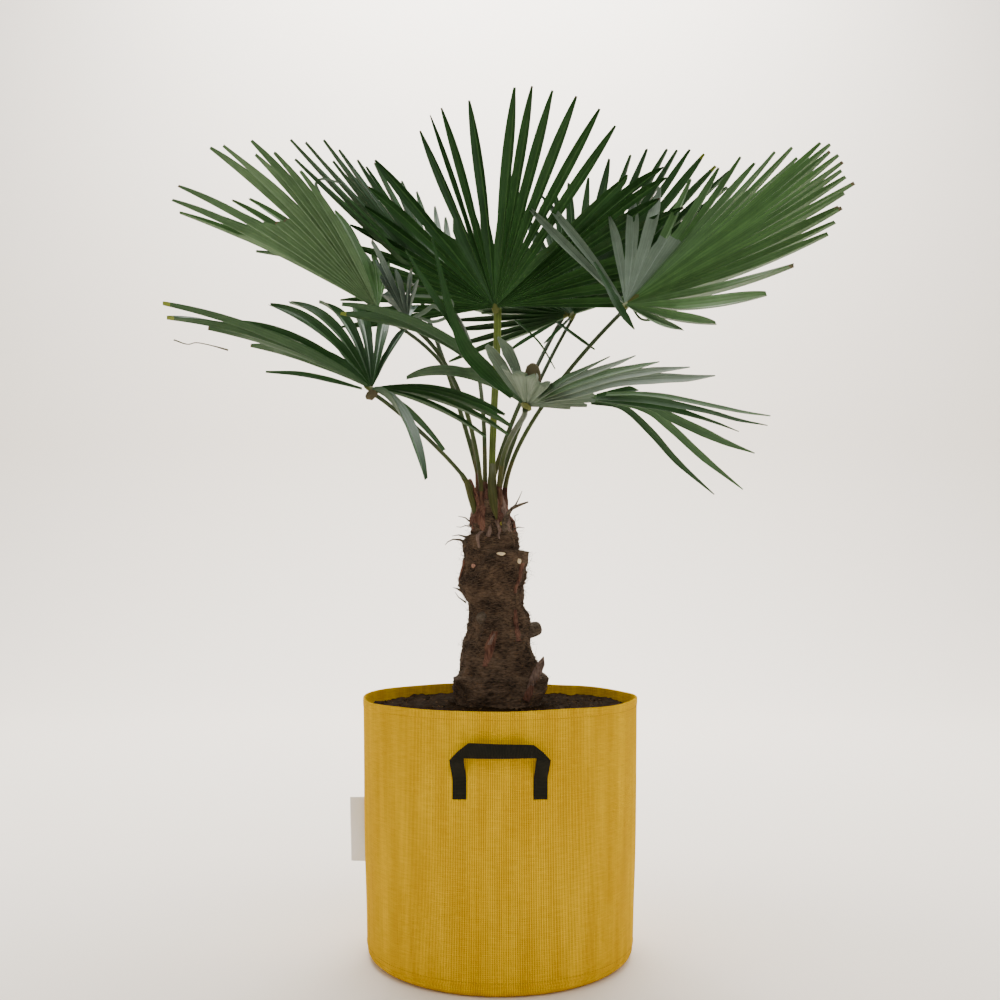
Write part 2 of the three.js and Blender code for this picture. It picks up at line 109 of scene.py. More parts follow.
def grid_faces(rows, columns, closed=True):
    """Quads between neighbouring rows and columns; a closed grid joins its last column to its first."""
    row = np.arange(rows - 1)[:, None]
    column = np.arange(columns if closed else columns - 1)[None, :]
    beside = (column + 1) % columns
    this_row, next_row = row * columns, (row + 1) * columns
    quads = [this_row + column, this_row + beside, next_row + beside, next_row + column]
    return np.stack(np.broadcast_arrays(*quads), axis=-1).reshape(-1, 4)


camera = bpy.data.objects.new("camera", bpy.data.cameras.new("camera"))
camera.location = (0, -1.942, 0.652)
camera.rotation_euler = (math.radians(94.73), 0, 0)
camera.data.sensor_width = 36
camera.data.lens = 37.55
bpy.context.scene.collection.objects.link(camera)
bpy.context.scene.camera = camera

paper, _, paper_shader = new_material("pale_paper", roughness=0.9, specular=0.0)
paper_shader.inputs["Base Color"].default_value = srgb(255, 247, 236)
SWEEP_RADIUS, SWEEP_START, WALL_TOP, HALF_WIDTH = 1.6, 3.2, 7.0, 9.0
sweep_turn = np.linspace(0, math.pi / 2, 24)
sweep_out, sweep_up = SWEEP_RADIUS * np.sin(sweep_turn), SWEEP_RADIUS * (1 - np.cos(sweep_turn))
sweep_y = np.concatenate([[-6.0], SWEEP_START + sweep_out, [SWEEP_START + SWEEP_RADIUS]])
sweep_z = np.concatenate([[0.0], sweep_up, [WALL_TOP]])
sweep_points = np.array([(x, y, z) for y, z in zip(sweep_y, sweep_z) for x in (-HALF_WIDTH, HALF_WIDTH)])
floor = put_mesh("floor", sweep_points, [grid_faces(len(sweep_y), 2, closed=False)], [paper])

world = bpy.data.worlds.new("studio")
world.use_nodes = True
world.node_tree.nodes["Background"].inputs["Color"].default_value = srgb(255, 250, 243)
world.node_tree.nodes["Background"].inputs["Strength"].default_value = 0.5
bpy.context.scene.world = world

for light_name, place, aim, power, side in [
    ("key_light", (1.2, -3.4, 3.2), (0, 0, 0.7), 55, 2.2),
    ("fill_light", (-2.8, -2.6, 2.2), (0, 0, 0.8), 12, 2.6),
    ("paper_light", (0, 2.4, 5.6), (0, 4.6, 1.6), 820, 4.5),
]:
    light = bpy.data.objects.new(light_name, bpy.data.lights.new(light_name, "AREA"))
    light.data.energy = power
    light.data.size = side
    light.location = place
    light.rotation_euler = (Vector(aim) - Vector(place)).to_track_quat("-Z", "Y").to_euler()
    bpy.context.scene.collection.objects.link(light)

# ---- Grow bag ----
# Stiff yellow cloth with fine upright ribs, hemmed at the rim and sewn to a round floor. It hangs in slight
# folds at the sides. One row of stitches holds the hem and another the foot.
BAG_HEIGHT, FOOT_RADIUS, RIM_RADIUS, CLOTH = 0.452, 0.237, 0.25, 0.004
FOOT_ROUND, FLOOR_TOP = 0.0212, 0.005
HEM_STITCHES, FOOT_STITCHES = 0.4385, 0.0262


def noise(points, seed=0):
    """Smooth noise between -1 and 1. Every whole-numbered place has a value drawn from the sine of a sum of
    its numbers, and a point blends the eight around it by the smoothstep of how far along it lies."""
    points = np.asarray(points, float)
    cell = np.floor(points)
    part = points - cell
    part = part * part * (3 - 2 * part)
    total = np.zeros(points.shape[:-1])
    for corner in np.ndindex(2, 2, 2):
        at = cell + corner
        drawn = np.sin(at[..., 0] * 127.1 + at[..., 1] * 311.7 + at[..., 2] * 74.7 + seed * 17.3) * 43758.5453
        share = np.prod(np.where(np.array(corner) == 1, part, 1 - part), axis=-1)
        total += share * (2 * (drawn - np.floor(drawn)) - 1)
    return total


def round_noise(x, y, across, height, up, seed):
    """Noise round an upright piece: its unit circle is scaled by `across`, and its height by `up`."""
    return noise(np.stack([x * across, y * across, height * up], -1), seed)


def bag_radius(height):
    """Outer radius of the bag's wall: straight from foot to rim, with a slight belly in between."""
    share = height / BAG_HEIGHT
    return FOOT_RADIUS + (RIM_RADIUS - FOOT_RADIUS) * share + 0.0015 * np.sin(math.pi * share)


def smooth_step(value, low, high):
    """0 below low and 1 above high, with a soft start and end between them."""
    share = np.clip((value - low) / (high - low), 0, 1)
    return share * share * (3 - 2 * share)


def bell(value, middle, width):
    """A smooth hump that is 1 at its middle: e to the power of minus the squared share of its width."""
    return np.exp(-(((value - middle) / width) ** 2))


BAG_COLUMNS = 360
bag_bearing = np.linspace(0, 2 * math.pi, BAG_COLUMNS, endpoint=False)
wall_heights = np.concatenate([np.linspace(0.023, 0.43, 70), np.linspace(0.4325, 0.4495, 12)])
bag_profile = [(0.0, 0.0), (0.08, 0.0), (0.16, 0.0), (0.2, 0.0)]
bag_profile += [(0.216 + FOOT_ROUND * math.cos(turn), FOOT_ROUND + FOOT_ROUND * math.sin(turn))
                for turn in np.linspace(-math.pi / 2, 0, 9)]
bag_profile += [(float(bag_radius(height)), float(height)) for height in wall_heights]
outer_rows = len(bag_profile)
half_cloth = CLOTH / 2
bag_profile += [(RIM_RADIUS - half_cloth * (1 - math.cos(turn)), BAG_HEIGHT - half_cloth * (1 - math.sin(turn)))
                for turn in np.linspace(0, math.pi, 7)]
bag_profile += [(float(bag_radius(height)) - CLOTH, float(height)) for height in np.linspace(0.445, 0.03, 24)]
bag_profile += [(0.225, 0.012), (0.21, FLOOR_TOP), (0.1, FLOOR_TOP), (0.0, FLOOR_TOP)]
bag_profile = np.array(bag_profile)
bag_around, bag_along = np.meshgrid(bag_bearing, np.arange(len(bag_profile)))
bag_r, bag_z = bag_profile[bag_along, 0], bag_profile[bag_along, 1]
bag_x_unit, bag_y_unit = np.cos(bag_around), np.sin(bag_around)
side_weight = 0.35 + 0.65 * smooth_step(np.abs(bag_x_unit), 0.45, 0.95)
folds = 0.0021 * round_noise(bag_x_unit, bag_y_unit, 3.2, bag_z, 1.6, 3) * side_weight
folds *= smooth_step(bag_z, 0.02, 0.16)
folds += 0.0011 * round_noise(bag_x_unit, bag_y_unit, 9, bag_z + 1.4, 5, 5) * smooth_step(bag_z, 0.02, 0.1)
hem = 0.0007 * smooth_step(bag_z, 0.4375, 0.4395) - 0.0006 * bell(bag_z, HEM_STITCHES, 0.0011)
seam = 0.0011 * bell(bag_z, 0.011, 0.004) - 0.0022 * bell(bag_z, 0.0175, 0.0016)
bag_r = bag_r + np.where(bag_r > 0.15, folds + hem + seam, 0)
rim_wave = 0.0019 * round_noise(bag_x_unit, bag_y_unit, 2.3, bag_z, 0, 8)
bag_z = bag_z + rim_wave * smooth_step(bag_z, 0.38, 0.45)
bag_points = np.stack([bag_r * bag_x_unit, bag_r * bag_y_unit, bag_z], -1)


def close_poles(points, columns, rows):
    """Faces of a lathed grid whose first and last row lie on the axis: each pole row becomes one point."""
    flat = points.reshape(-1, 3)[columns - 1: (rows - 1) * columns + 1]
    body = grid_faces(rows - 2, columns) + 1
    last = len(flat) - 1
    ring = np.arange(columns)
    first_fan = np.stack([np.zeros(columns, int), 1 + (ring + 1) % columns, 1 + ring], -1)
    final_row = last - columns
    last_fan = np.stack([np.full(columns, last), final_row + ring, final_row + (ring + 1) % columns], -1)
    return flat, [body, first_fan, last_fan]


def bump_node(tree, principled, height, distance, strength=1.0):
    """Turns a height into a bump on the Principled node."""
    bump = add_node(tree, "Bump", strength, distance, None, height)
    tree.links.new(bump, principled.inputs["Normal"])


def times(tree, value, factor):
    """A shader value times a number or another value."""
    return add_node(tree, "Math", value, factor, operation="MULTIPLY")


def plus(tree, value, more):
    """A shader value plus a number or another value."""
    return add_node(tree, "Math", value, more, operation="ADD")


def wave(tree, value, pace):
    """The sine of a shader value times its pace."""
    return add_node(tree, "Math", times(tree, value, pace), operation="SINE")


def two_tones(tree, principled, tone, dark, light, low=0.0, high=1.0):
    """A base colour that runs from a dark to a light tint while the tone runs from `low` to `high`."""
    ramp = add_node(tree, "ValToRGB", tone)
    for stop, tint, position in zip(ramp.node.color_ramp.elements, (dark, light), (low, high)):
        stop.color = tint
        stop.position = position
    tree.links.new(ramp, principled.inputs["Base Color"])


cloth, cloth_tree, cloth_shader = new_material("bag_cloth", roughness=0.85, specular=0.02)
cloth_axes = add_node(cloth_tree, "SeparateXYZ", add_node(cloth_tree, "TexCoord", out=3))
cloth_x, cloth_y, cloth_z = cloth_axes.node.outputs
cloth_turn = add_node(cloth_tree, "Math", cloth_y, cloth_x, operation="ARCTAN2")


def cloth_patches(around, up, detail=2.0):
    """Soft patches on the unrolled cloth, with a scale of their own round the bag and up it."""
    across, along = times(cloth_tree, cloth_turn, around), times(cloth_tree, cloth_z, up)
    place = add_node(cloth_tree, "CombineXYZ", across, 0.0, along)
    return add_node(cloth_tree, "TexNoise", place, None, 1.0, detail)


ribs = times(cloth_tree, wave(cloth_tree, cloth_turn, 540.0), cloth_patches(70.0, 14.0, 3.0))
weft = times(cloth_tree, wave(cloth_tree, cloth_z, 2100.0), 0.25)
slubs, streaks, slow_shade = cloth_patches(9.0, 420.0), cloth_patches(210.0, 5.0), cloth_patches(9.0, 4.0)
bump_node(cloth_tree, cloth_shader, plus(cloth_tree, ribs, weft), 0.0011, 0.8)
# The colour follows the rib relief, darker in the grooves and lighter on the crests, which is painted shade and
# light. It is mixed with the slubs and streaks of the yarn, and with slow broad patches that are painted shade and
# light of the folds.
cloth_tone_and_shade = -0.12
for pattern, weight in [(ribs, 0.45), (slubs, 0.34), (streaks, 0.36), (slow_shade, 0.45)]:
    cloth_tone_and_shade = plus(cloth_tree, times(cloth_tree, pattern, weight), cloth_tone_and_shade)
two_tones(cloth_tree, cloth_shader, cloth_tone_and_shade, srgb(186, 134, 0), srgb(255, 210, 0), 0.25, 0.8)

bag_flat, bag_faces = close_poles(bag_points, BAG_COLUMNS, len(bag_profile))
bag = put_mesh("bag", bag_flat, bag_faces, [cloth])
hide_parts("grow_bag")
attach(bag, "root")


def boxes(centres, along, up, out, sizes):
    """Small boxes: each has a centre, three axes of length one and its sizes along them."""
    signs = np.array([(x, y, z) for z in (-0.5, 0.5) for y in (-0.5, 0.5) for x in (-0.5, 0.5)])
    axes = np.stack([along, up, out], 1)
    points = centres[:, None] + np.einsum("ck,nk,nkj->ncj", signs, sizes, axes)
    quads = np.array([(0, 2, 3, 1), (4, 5, 7, 6), (0, 1, 5, 4), (2, 6, 7, 3), (0, 4, 6, 2), (1, 3, 7, 5)])
    faces = (np.arange(len(centres))[:, None, None] * 8 + quads).reshape(-1, 4)
    return points.reshape(-1, 3), faces


def ring_stitches(count, height, length, lift):
    """Stitches in a row round the bag, each lying along the cloth, on the grid's row nearest in height."""
    bearing = (np.arange(count) + 0.5) * 2 * math.pi / count
    out = np.stack([np.cos(bearing), np.sin(bearing), 0 * bearing], -1)
    along = np.stack([-np.sin(bearing), np.cos(bearing), 0 * bearing], -1)
    up = np.tile([0.0, 0.0, 1.0], (count, 1))
    cloth_row = bag_r[int(np.argmin(np.abs(bag_profile[:outer_rows, 1] - height)))] + lift
    surface = np.interp(bearing, np.append(bag_bearing, 2 * math.pi), np.append(cloth_row, cloth_row[0]))
    centres = out * surface[:, None] + up * height
    return boxes(centres, along, up, out, np.tile([length, 0.0007, 0.0006], (count, 1)))


thread, thread_tree, thread_shader = new_material("bag_thread", roughness=0.8, specular=0.15)
thread_tone = add_node(thread_tree, "TexNoise", add_node(thread_tree, "TexCoord", out=3), None, 900.0, 2.0)
two_tones(thread_tree, thread_shader, thread_tone, srgb(150, 108, 6), srgb(204, 158, 20))
hem_points, hem_faces = ring_stitches(300, HEM_STITCHES, 0.0034, 0.0002)
foot_points, foot_faces = ring_stitches(260, FOOT_STITCHES, 0.0036, 0.0001)
stitches = put_mesh("bag_stitches", np.concatenate([hem_points, foot_points]),
                    [np.concatenate([hem_faces, foot_faces + len(hem_points)])], [thread], smooth=False)
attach(stitches, "root")

# ---- Soil ----
# Dark, damp potting mix with lumps and loose crumbs, a little lower at the wall than round the trunk. It
# fills the bag to just under the rim.
SOIL_COLUMNS, SOIL_RADIUS, SOIL_HEIGHT, SOIL_UNDER = 260, 0.2405, 0.437, 0.4


def soil_dip(radius):
    """How far the soil lies below its middle: nothing round the trunk, 4 mm at the wall."""
    return 0.004 * np.clip((radius - 0.11) / 0.13, 0, 1)


soil_rings = np.concatenate([np.linspace(0, 0.236, 74), [0.2395, SOIL_RADIUS]])
soil_bearing = np.linspace(0, 2 * math.pi, SOIL_COLUMNS, endpoint=False)
soil_around, soil_r = np.meshgrid(soil_bearing, soil_rings)
soil_x, soil_y = soil_r * np.cos(soil_around), soil_r * np.sin(soil_around)
soil_places = np.stack([soil_x, soil_y, 0 * soil_x], -1)
soil_z = SOIL_HEIGHT - soil_dip(soil_r)
for lump_height, lump_scale, lump_seed in [(0.0028, 42, 1), (0.0016, 120, 2), (0.0011, 260, 4)]:
    soil_z = soil_z + lump_height * noise(soil_places * lump_scale, lump_seed)
soil_z = soil_z + 0.0045 * smooth_step(soil_r, 0.215, 0.24) * (0.3 + noise(soil_places * 11, 6))
soil_top = np.stack([soil_x, soil_y, soil_z], -1)
soil_side = np.stack([soil_x[-1], soil_y[-1], np.full(SOIL_COLUMNS, SOIL_UNDER)], -1)
soil_under = np.zeros((1, SOIL_COLUMNS, 3)) + (0, 0, SOIL_UNDER)
soil_grid = np.concatenate([soil_under, soil_side[None], soil_top[::-1]])
soil_flat, soil_faces = close_poles(soil_grid, SOIL_COLUMNS, len(soil_grid))

earth, earth_tree, earth_shader = new_material("soil", roughness=0.95, specular=0.03)
earth_place = add_node(earth_tree, "TexCoord", out=3)
earth_coarse = add_node(earth_tree, "TexNoise", earth_place, None, 130.0, 6.0, 0.65)
two_tones(earth_tree, earth_shader, earth_coarse, srgb(17, 11, 5), srgb(50, 35, 19), 0.35, 0.72)
bump_node(earth_tree, earth_shader, add_node(earth_tree, "TexNoise", earth_place, None, 420.0, 5.0), 0.002, 0.8)
soil = put_mesh("soil_top", soil_flat, soil_faces, [earth])
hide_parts("soil")
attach(soil, "root")

CRUMBS = 900
crumb_light, crumb_tree, crumb_shader = new_material("soil_crumb", roughness=0.95, specular=0.1)
crumb_tone = add_node(crumb_tree, "TexNoise", add_node(crumb_tree, "TexCoord", out=3), None, 160.0, 4.0)
two_tones(crumb_tree, crumb_shader, crumb_tone, srgb(40, 28, 16), srgb(96, 74, 48))
crumb_rng = np.random.default_rng(11)
crumb_r = np.sqrt(crumb_rng.uniform(0.07 ** 2, 0.236 ** 2, CRUMBS))
crumb_bearing = crumb_rng.uniform(0, 2 * math.pi, CRUMBS)
crumb_size = crumb_rng.uniform(0.0012, 0.0046, CRUMBS) * crumb_rng.uniform(0.6, 1, CRUMBS)
crumb_corners = np.array([(1, 0, 0), (-1, 0, 0), (0, 1, 0), (0, -1, 0), (0, 0, 1), (0, 0, -1)], float)
crumb_shape = crumb_corners * crumb_rng.uniform(0.6, 1.2, (CRUMBS, 6, 1)) * [1.0, 0.8, 0.65]
crumb_shape = crumb_shape * crumb_size[:, None, None] + crumb_rng.normal(0, 0.0004, (CRUMBS, 6, 3))
crumb_turn = crumb_rng.uniform(0, 2 * math.pi, CRUMBS)
crumb_cos, crumb_sin = np.cos(crumb_turn)[:, None], np.sin(crumb_turn)[:, None]
crumb_places = np.stack([crumb_r * np.cos(crumb_bearing), crumb_r * np.sin(crumb_bearing),
                         SOIL_HEIGHT - 0.0005 - soil_dip(crumb_r)], -1)
crumb_points = crumb_places[:, None] + np.stack([
    crumb_shape[..., 0] * crumb_cos - crumb_shape[..., 1] * crumb_sin,
    crumb_shape[..., 0] * crumb_sin + crumb_shape[..., 1] * crumb_cos,
    crumb_shape[..., 2],
], -1)
crumb_faces = np.array([(0, 2, 4), (2, 1, 4), (1, 3, 4), (3, 0, 4), (2, 0, 5), (1, 2, 5), (3, 1, 5), (0, 3, 5)])
crumb_all = (np.arange(CRUMBS)[:, None, None] * 6 + crumb_faces).reshape(-1, 3)
crumb_slots = np.repeat((crumb_rng.random(CRUMBS) < 0.4).astype(int), 8)
crumbs = put_mesh("soil_crumbs", crumb_points.reshape(-1, 3), [crumb_all], [earth, crumb_light], crumb_slots,
                  smooth=False)
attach(crumbs, "root")

# ---- Handles ----
# Black ribbed webbing, sewn flat at both feet. At each top corner the strap is folded over itself, and the
# bar between them stands off the cloth.
WEBBING_WIDTH, WEBBING_THICK = 0.023, 0.0016
LEG_INNER, LEG_OUTER, LEG_FOOT, BAR_LOW = 0.054, 0.077, 0.313, 0.380


def on_bag(x, height, depth):
    """A place on the flat lay of a handle wrapped round the bag, where it lifts off above its sewn feet."""
    lift = 0.016 * smooth_step(height, 0.340, BAR_LOW)
    radius = bag_radius(height) + 0.0005 + lift + depth
    turn = x / bag_radius(height)
    return np.stack([radius * np.sin(turn), -radius * np.cos(turn), height], -1)


def strip_faces(rows, columns, turned=False):
    """Quads of a closed strip whose rings go out along its top and back along its under side. Across both
    ends the first corner is joined to the last, the second to the last but one, and so on. Turned quads
    start from their last corner, and so crease along their other diagonal where the strip is bent."""
    k = np.arange(columns // 2 - 1)
    cap = np.stack([k, k + 1, columns - 2 - k, columns - 1 - k], -1)
    quads = grid_faces(rows, columns)
    quads = quads[:, ::-1] if turned else quads
    return np.concatenate([quads, cap, cap[:, ::-1] + (rows - 1) * columns])


def strap(edges, steps, low, high):
    """A closed strip of webbing between pairs of edge points, from depth `low` to `high`, each pair of
    stations cut in `steps`. UV runs across and along it in metres."""
    edges = np.array(edges, float)
    place = np.linspace(0, len(edges) - 1, (len(edges) - 1) * steps + 1)
    inner = np.stack([np.interp(place, np.arange(len(edges)), edges[:, 0, k]) for k in (0, 1)], -1)
    outer = np.stack([np.interp(place, np.arange(len(edges)), edges[:, 1, k]) for k in (0, 1)], -1)
    middle = (inner + outer) / 2
    along = np.concatenate([[0], np.cumsum(np.linalg.norm(np.diff(middle, axis=0), axis=1))])
    across = np.linspace(0, 1, 9)
    flat = inner[:, None] * (1 - across)[None, :, None] + outer[:, None] * across[None, :, None]
    rounded = 0.0004 * (1 - (2 * across - 1) ** 6)
    top = on_bag(flat[..., 0], flat[..., 1], high - 0.0004 + rounded)
    bottom = on_bag(flat[..., 0], flat[..., 1], np.full(flat.shape[:2], low))
    ring = np.concatenate([top, bottom[:, ::-1]], axis=1)
    uv_across = np.concatenate([across, across[::-1]]) * WEBBING_WIDTH
    uv = np.stack(np.broadcast_arrays(uv_across[None, :], along[:, None]), -1).reshape(-1, 2)
    return ring.reshape(-1, 3), strip_faces(*ring.shape[:2]), uv


def joined(parts):
    """Several (points, faces, uv) meshes as one."""
    starts = np.cumsum([0] + [len(points) for points, _, _ in parts[:-1]])
    points = np.concatenate([points for points, _, _ in parts])
    faces = np.concatenate([faces + start for (_, faces, _), start in zip(parts, starts)])
    uv = np.concatenate([uv for _, _, uv in parts])
    return points, faces, uv


webbing, webbing_tree, webbing_shader = new_material("webbing", roughness=0.8, specular=0.1)
webbing_uv = add_node(webbing_tree, "UVMap")
webbing_across, webbing_along, _ = add_node(webbing_tree, "SeparateXYZ", webbing_uv).node.outputs
webbing_warp = times(webbing_tree, wave(webbing_tree, webbing_across, 4400.0), 0.5)
webbing_height = plus(webbing_tree, wave(webbing_tree, webbing_along, 2800.0), webbing_warp)
bump_node(webbing_tree, webbing_shader, webbing_height, 0.0005, 0.7)
# The colour follows the weave's relief, darker in its grooves and lighter on its ridges: painted shade and light.
webbing_relief_shade = plus(webbing_tree, times(webbing_tree, webbing_height, 0.3), 0.5)
two_tones(webbing_tree, webbing_shader, webbing_relief_shade, srgb(16, 15, 11), srgb(44, 43, 33))


def handle_straps():
    """Both legs, and the bar that is folded over their tops."""
    parts = []
    for side in (-1, 1):
        inner, outer = side * LEG_INNER, side * LEG_OUTER
        leg = [((inner, LEG_FOOT), (outer, LEG_FOOT - 0.0012)), ((inner, 0.340), (outer, 0.340)),
               ((inner, 0.360), (outer, 0.3585)), ((side * 0.0545, 0.3815), (side * 0.0765, 0.3755))]
        if side > 0:
            leg = [(right, left) for left, right in leg]
        parts.append(strap(leg, 8, 0.0, WEBBING_THICK))
    bar = [((-LEG_INNER, 0.3795), (-0.0772, 0.375)), ((-0.0538, BAR_LOW), (-0.0635, 0.3905)),
           ((-0.0535, 0.3803), (-0.047, 0.4045))]
    bar += [((0.0535 * share, 0.3803 + 0.0002 * share), (0.049 * share, 0.4032 - 0.0014 * share))
            for share in np.linspace(-0.8, 0.8, 7)]
    bar += [((0.0535, 0.3805), (0.0505, 0.4012)), ((0.0538, BAR_LOW), (0.0648, 0.3893)),
            ((LEG_INNER, 0.3795), (0.0772, 0.375))]
    return joined(parts + [strap(bar, 6, 0.0014, 0.0030)])


def frayed_threads(seed):
    """Fifteen thin pyramids of loose thread that hang from the cut end of each leg."""
    parts = []
    rng = np.random.default_rng(seed)
    for side in np.repeat((-1, 1), 15):
        x = side * rng.uniform(0.0545, 0.0765)
        top = rng.uniform(0.3125, 0.315)
        tip = LEG_FOOT - rng.uniform(0.0012, 0.0042)
        lean = rng.normal(0, 0.0009)
        across = np.array([x - 0.0003, x + 0.0003, x + lean, x])
        points = on_bag(across, np.array([top, top, tip, top]), np.array([0.0003, 0.0003, 0.0006, 0.0012]))
        parts.append((points, np.array([(0, 1, 2), (1, 3, 2), (3, 0, 2), (0, 3, 1)]), np.zeros((4, 2))))
    return joined(parts)


for handle_name, node_name, turned, seed in [
    ("strap_front", "handle_front", 1, 5), ("strap_back", "handle_back", -1, 9),
]:
    strap_points, strap_faces, strap_uv = handle_straps()
    thread_points, thread_faces, thread_uv = frayed_threads(seed)
    points = np.concatenate([strap_points, thread_points]) * (turned, turned, 1)
    handle = put_mesh(handle_name, points, [strap_faces, thread_faces + len(strap_points)], [webbing],
                      uv=np.concatenate([strap_uv, thread_uv]))
    handle.data.set_sharp_from_angle(angle=math.radians(40))
    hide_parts(node_name)
    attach(handle, "root")

# ---- Side tab ----
# A plain white woven tape, folded double and caught in the side seam. It stands out from the bag and waves
# a little.
TAPE_LOW, TAPE_HIGH, TAPE_WIDTH, TAPE_HALF = 0.155, 0.269, 0.0285, 0.0008
tape, tape_tree, tape_shader = new_material("white_tape", roughness=0.8, specular=0.2)
tape_uv = add_node(tape_tree, "UVMap")
tape_weave = add_node(tape_tree, "TexWave", tape_uv, 700.0, 1.0, 2.0, bands_direction="Y")
bump_node(tape_tree, tape_shader, tape_weave, 0.0002, 0.4)
tape_tone = add_node(tape_tree, "TexNoise", tape_uv, None, 240.0, 3.0)
two_tones(tape_tree, tape_shader, tape_tone, srgb(250, 249, 245), srgb(255, 254, 251))
tape_h, tape_o = np.meshgrid(np.linspace(TAPE_LOW, TAPE_HIGH, 40), np.linspace(0, 1, 12), indexing="ij")
tape_share = (tape_h - TAPE_LOW) / (TAPE_HIGH - TAPE_LOW)
tape_x = -(bag_radius(tape_h) - 0.001 + TAPE_WIDTH * tape_o)
tape_wave = 0.0018 * tape_o * np.sin(tape_share * 5.2 + 0.6) + 0.0012 * tape_o ** 2
tape_half = TAPE_HALF * (1 - 0.55 * tape_o ** 8)
tape_sides = [np.stack([tape_x, tape_wave + sign * tape_half, tape_h], -1) for sign in (1, -1)]
tape_ring = np.concatenate([tape_sides[0], tape_sides[1][:, ::-1]], axis=1)
tape_uv_points = np.stack([-tape_ring[..., 0], tape_ring[..., 2]], -1).reshape(-1, 2)
tape_faces = strip_faces(*tape_ring.shape[:2])[:, ::-1]
tab = put_mesh("tape_tab", tape_ring.reshape(-1, 3), [tape_faces], [tape], uv=tape_uv_points)
tab.data.set_sharp_from_angle(angle=math.radians(40))
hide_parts("side_tab")
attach(tab, "root")

# ---- Trunk ----
# Old leaf bases overlap up the trunk in a spiral under a coat of brown fibre. The fibre is wound round it
# in bands, some bases are cut to pale scars, and the trunk flares where it enters the soil.
# TRUNK_RINGS gives height, lean aside and radius in millimetres.
TRUNK_RINGS = np.array([
    (437.5, -3, 81), (460, -2, 84), (484, -2, 83), (491, 0, 76), (505, 0, 72), (520, -1, 69), (545, -3, 64),
    (559, -2, 62), (577, -1, 58), (600, -5, 54), (617, -8, 52), (630, -12, 55), (652, -16, 60), (672, -11, 61),
    (692, -6, 61), (716, -6, 61), (719, -16, 51), (745, -17, 50), (749, -11, 44), (772, -15, 40), (785, -18, 34),
    (800, -17, 32), (812, -17, 30),
]) / 1000
TRUNK_COLUMNS, TRUNK_ROWS = 288, 300
TRUNK_LOW, TRUNK_HIGH, TRUNK_LEAN = 0.4345, 0.812, -0.019
LEAF_BASES, SPIRAL_TURN, BASE_STEP, BASE_HEIGHT, BASE_LIFT = 26, 137.5, 0.0145, 0.07, 0.0062


def trunk_surface(bearing, height):
    """Points of the trunk's skin. Wedge-shaped leaf bases stand on a spiral, each swelling towards a lip at
    its top, and wound fibre adds fine ridges that follow a slowly waving course round the trunk."""
    aside, radius = (np.interp(height, TRUNK_RINGS[:, 0], TRUNK_RINGS[:, k]) for k in (1, 2))
    radius = radius * (1 + 0.03 * (np.sin(3 * bearing + height / 0.023) + np.sin(5 * bearing - height / 0.017)))
    scales = np.zeros_like(height)
    for k in range(LEAF_BASES):
        middle = math.radians(SPIRAL_TURN * k + 20 * math.sin(k * 2.1))
        share = (height - 0.425 - BASE_STEP * k) / BASE_HEIGHT
        apart = np.abs((bearing - middle + math.pi) % (2 * math.pi) - math.pi)
        half = 0.75 - 0.5 * np.clip(share, 0, 1)
        inside = smooth_step(half - apart, -0.05, 0.14)
        lift = BASE_LIFT * smooth_step(share, -0.1, 0.85) * (1 - smooth_step(share, 0.9, 1.03))
        scales = np.maximum(scales, lift * inside)
    x, y = np.cos(bearing), np.sin(bearing)
    wander = 0.010 * round_noise(x, y, 2.5, height, 22, 21)
    fibre = 0.0013 * round_noise(x, y, 3.0, height + wander, 420, 22)
    fibre += 0.0019 * round_noise(x, y, 11, height, 120, 23) + 0.0032 * round_noise(x, y, 1.9, height, 26, 24)
    radius = radius - 0.0028 + (scales + fibre) * smooth_step(height, 0.4375, 0.45)
    return np.stack([aside + radius * x, radius * y, height], -1)


trunk_bearing = np.linspace(0, 2 * math.pi, TRUNK_COLUMNS, endpoint=False)
trunk_skin = trunk_surface(*np.meshgrid(trunk_bearing, np.linspace(TRUNK_LOW, TRUNK_HIGH, TRUNK_ROWS)))
trunk_top_middle = np.array([TRUNK_LEAN, 0.0, TRUNK_HIGH + 0.006])
trunk_shoulders = [trunk_skin[-1] * (1 - share) + trunk_top_middle * share for share in (0.3, 0.7)]
trunk_base = np.zeros((1, TRUNK_COLUMNS, 3)) + (-0.003, 0, TRUNK_LOW)
trunk_top = np.zeros((1, TRUNK_COLUMNS, 3)) + trunk_top_middle
trunk_grid = np.concatenate([trunk_base, trunk_skin, np.array(trunk_shoulders), trunk_top])
trunk_flat, trunk_faces = close_poles(trunk_grid, TRUNK_COLUMNS, len(trunk_grid))


def bark_material(name, dark, light, stretch, roughness=0.95):
    """Fibrous brown: fine threads that run round the trunk, with slow patches of lighter and darker fibre."""
    made, tree, principled = new_material(name, roughness=roughness, specular=0.12)
    place = add_node(tree, "TexCoord", out=3)
    drawn = add_node(tree, "Mapping", place, None, None, stretch)
    threads = add_node(tree, "TexNoise", drawn, None, 1.0, 5.0, 0.65)
    patches = add_node(tree, "TexNoise", place, None, 34.0, 3.0)
    mixed = plus(tree, times(tree, threads, 0.6), times(tree, patches, 0.4))
    two_tones(tree, principled, mixed, dark, light, 0.38, 0.64)
    bump_node(tree, principled, threads, 0.0022, 0.9)
    return made


bark = bark_material("fibre_bark", srgb(34, 26, 20), srgb(112, 92, 74), (120.0, 120.0, 480.0))
trunk = put_mesh("trunk_bark", trunk_flat, trunk_faces, [bark])
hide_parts("trunk")
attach(trunk, "root")


